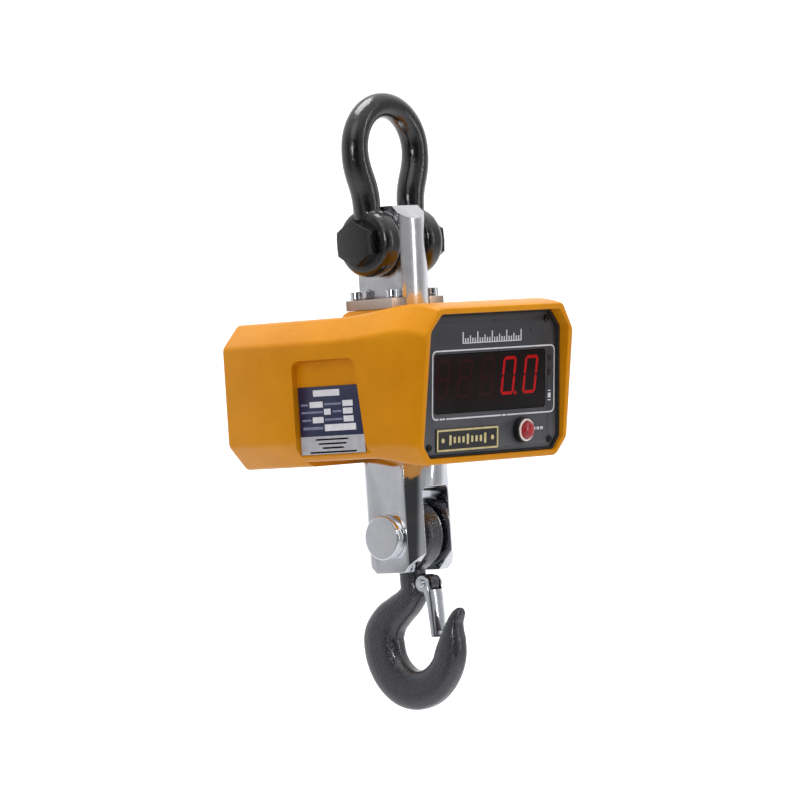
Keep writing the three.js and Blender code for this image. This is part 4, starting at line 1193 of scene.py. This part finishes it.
def channel_ring(row, inset):
    """One ring of the latch's channel. Its row: height, half width, front, flange edge."""
    height, half, front, back = row
    y0, z0 = LATCH_PIVOT
    wide = half - inset
    ring = [(wide, y0 + back + inset * 10, z0 + height), (-wide, y0 + back + inset * 10, z0 + height)]
    for i in range(-14, 15):
        angle = math.pi / 2 * i / 14
        y = y0 + front + inset + 3.2 * (1 - math.cos(angle))
        ring.append((wide * math.sin(angle), y, z0 + height))
    return ring


def latch():
    """Sheet channel with two ears, a relief at its end and a foot that rests on the hook's tip."""
    y0, z0 = LATCH_PIVOT
    sheet, half, end = 1.6, 8.6, -409.5
    rows = [
        (2, 8.6, -6.2, 3), (-5, 8.6, -8.6, -0.6), (-14, 8.4, -9.6, -3.4), (-28, 8.1, -10.3, -4.8),
        (-42.2, 7.8, -10.9, -5.8),
    ]
    outer = spline(rows, 4)
    inner = [(10, *rows[0][1:]), *outer, (rows[-1][0] - 6, *rows[-1][1:])]
    body = skin("latch_stamped", [channel_ring(row, 0) for row in outer])
    join(body, rod("ears", ACROSS, 6.2, -half, half, (0, y0, z0)))
    cut(body, skin("hollow", [channel_ring(row, sheet) for row in inner]))
    gap = half - sheet
    cut(body, block("top", (-gap, y0 - 20, z0 - 5), (gap, y0 + 20, z0 + 10)))
    reach = 7.8 - sheet
    relief = [(-9.4, -1), (-9.4, 2), (-6, 13), (0, 13), (0, -1)]
    cut(body, plate_across("relief", [(y0 + y, end + z) for y, z in relief], -reach, reach))
    foot = [(-9.4, 0), (-9.4, 3), (-11.2, 4.5), (-12.4, 2.5)]
    join(body, plate_across("foot", [(y0 + y, end + z) for y, z in foot], 2 - reach, reach - 2))
    cut(body, rod("bore", ACROSS, LATCH_BORE_R, -30, 30, (0, y0, z0), 48))
    dress(bevelled(body, 0.3, 2), "latch", "zinc")


# ---- the label and the plainer pieces
def label_prints():
    """A navy label with blank white fields, plain bars for its captions and a silver strip below."""
    node = "label_plate"
    refined(node, 0.15, "label_blue", 2)
    lo, hi = low(node), high(node)
    turn = Matrix(((0, 0, -1, lo.x), (-1, 0, 0, 0), (0, 1, 0, 0), (0, 0, 0, 1)))

    def print_patch(name, material, y0, y1, z0, z1):
        patch(name, node, material, -y0, -y1, z0, z1, 0.0, 0.08, turn)

    bottom, top = lo.z + 0.05, -246.4
    strip = [(32.7, top), (-hi.y + 0.05, top), (-hi.y + 0.05, bottom), (33.3, bottom)]
    dress(slab("label_lower", strip, 0.0, 0.08, turn), node, "label_silver", False)
    print_patch("label_head", "label_white", 17.6, -9.8, -215.4, -210.4)
    rows = [
        (-224.0, -219.4, ((21.9, 8.2), (-12.3, -22.9)), ((30.9, 23.3), (6.6, -11))),
        (-229.9, -225.3, ((7.3, 0.5), (-12.4, -22.4)), ((30.8, 8.8), (-1.7, -10.7))),
        (-236.0, -231.4, ((19.6, 8.3), (-12.5, -22.9)), ((30.5, 21), (6.8, -11.2))),
        (-242.6, -237.4, ((7.5, -24.8),), ((30.1, 9.3),)),
    ]
    for row, (bottom, top, fields, captions) in enumerate(rows, 1):
        for index, (y0, y1) in enumerate(fields, 1):
            print_patch(f"label_field_{row}_{index}", "label_white", y0, y1, bottom, top)
        for index, (y0, y1) in enumerate(captions, 1):
            print_patch(f"label_caption_{row}_{index}", "label_grey", y0, y1, bottom + 1.5, top - 1.5)
    for line, (y0, y1) in enumerate(((18, -16), (15, -14), (11, -11), (24, -24))):
        top = -248.4 - 3.3 * line
        print_patch(f"label_line_{line + 1}", "label_ink", y0, y1, top - 1.3, top)


def finish_plain_nodes():
    """Pieces that keep their CAD shape: node, edge rounding, material."""
    refined("front_panel", 0.25, "charcoal", 2)
    # Painted shade: the black gasket stands for the shade in the gap between the panel and the recess
    # wall.
    refined("panel_gasket", 0.4, "rubber", 2)
    for node, width, material in (
        ("display_window", 0.35, "filter"),
        ("load_bar", 0.45, "machined"),
        ("collar_plate_left", 0.6, "steel"),
        ("collar_plate_right", 0.6, "steel"),
        ("hook_fork", 0.8, "nickel"),
        ("retaining_ring", 0.2, "oxide"),
        ("fork_seal", 0.5, "rubber"),
        ("rear_cover", 0.4, "charcoal"),
        ("charge_socket", 0.4, "black"),
        ("socket_cap", 0.5, "rubber"),
        ("switch_bezel", 0.4, "black"),
        ("power_switch", 0.35, "cap"),
        ("battery", 1.2, "battery"),
        ("display_board", 0.2, "board"),
        ("main_board", 0.2, "board"),
        ("load_cell", 0.6, "nickel"),
        ("latch_spring", 0.3, "oxide"),
    ):
        refined(node, width, material)


def rear_screws():
    for node in numbered("rear_screw"):
        seat = Vector((middle(node).x, high(node).y - 2, middle(node).z))
        pan_screw(node, Matrix.Translation(seat) @ Matrix.Rotation(-math.pi / 2, 4, "X"), 3.1, 2)


# ---- studio
def studio():
    """A round pale floor that rises to a bright wall, soft lamps and a surround to reflect."""
    floor_z = -0.62
    curve = ((0.001, 0), (3, 0), (6, 0), (8, 0.15), (9.6, 0.7), (10.6, 1.8), (11, 3.4), (11, 12))
    rings = [((floor_z + height) / MM, radius / MM) for radius, height in curve]
    floor = smooth(lathe("floor", rings, sides=64), 80)
    n = Material("pale_floor")
    tone = n.blend(n.noise(0.8, 2), (0.88, 0.88, 0.88, 1), (0.92, 0.92, 0.92, 1))
    bright = {"Emission_Color": (1, 1, 1, 1), "Emission_Strength": 0.72}
    floor.data.materials.append(n.set(Base_Color=tone, Roughness=0.9, **bright))
    floor.visible_glossy = False
    floor.visible_shadow = False
    floor.visible_diffuse = False
    lamp("key", (-2.6, -1.2, 2.3), 2.4, 2.0, 12)
    lamp("top", (0.1, 0.3, 2.4), 1.7, 1.7, 56)
    lamp("front", (0.9, -3.2, 0.5), 1.8, 2.4, 20).visible_glossy = False
    lamp("strip", (1.5, -2.6, 0.3), 0.2, 2.2, 7)
    lamp("small", (-2.8, -1.03, 0.4), 0.45, 0.6, 12)
    surround()


def surround():
    """The room's brightness by direction: walls with dark gaps, a bright ceiling and ground."""
    world = bpy.data.worlds.new("studio")
    bpy.context.scene.world = world
    world.use_nodes = True
    n = Tree(world.node_tree)
    direction = n.add("ShaderNodeTexCoord").outputs["Generated"]
    split = n.add("ShaderNodeSeparateXYZ", {0: direction}).outputs
    around = n.levels(n.math("ARCTAN2", split["Y"], split["X"]), -math.pi, math.pi)
    walls = n.add("ShaderNodeValToRGB", {0: around})
    # degrees from +X towards +Y, and brightness
    levels = (
        (-180, 0.5), (-156, 0.2), (-149, 0.05), (-115, 0.05), (-110, 0.12), (-102, 0.36), (-72, 0.4),
        (-64, 0.6), (-56, 0.6), (-46, 0.34), (-24, 0.46), (-6, 0.95), (29, 1.0), (76, 1.0), (104, 0.7),
        (118, 0.95), (130, 0.58), (148, 0.46), (164, 0.15), (174, 0.15), (180, 0.5),
    )
    ramp = walls.color_ramp
    while len(ramp.elements) < len(levels):
        ramp.elements.new(0.5)
    for element, (degrees, value) in zip(ramp.elements, levels):
        element.position = (degrees + 180) / 360
        element.color = (value, value, value * 1.02, 1)
    sides = n.blend(n.levels(split["Z"], -0.2, -0.6), walls.outputs[0], (0.96, 0.96, 0.98, 1))
    sky = n.blend(n.levels(split["Z"], 0.3, 0.75), sides, (0.85, 0.85, 0.86, 1))
    n.feed(n.tree.nodes["Background"], {0: sky, 1: 1.0})


def lamp(name, place, width, height, power):
    data = bpy.data.lights.new(name, "AREA")
    data.shape = "RECTANGLE"
    data.size, data.size_y = width, height
    data.energy = power
    obj = placed(name, data)
    obj.location = place
    aim = Vector((0, 0, -0.22)) - Vector(place)
    obj.rotation_mode = "QUATERNION"
    obj.rotation_quaternion = aim.to_track_quat("-Z", "Y")
    obj.visible_camera = False
    return obj


photo_camera()
studio()
shackle_bow()
shackle_bolt()
shackle_nut()
cotter_pin()
collar_screws()
hook_pin()
pin_washer()
housing()
digits()
frame_line()
panel_prints()
panel_screws()
button()
indicators()
capacity_plate()
hook()
latch_pin()
latch()
label_prints()
rear_screws()
finish_plain_nodes()

bpy.context.scene.view_settings.view_transform = "Standard"
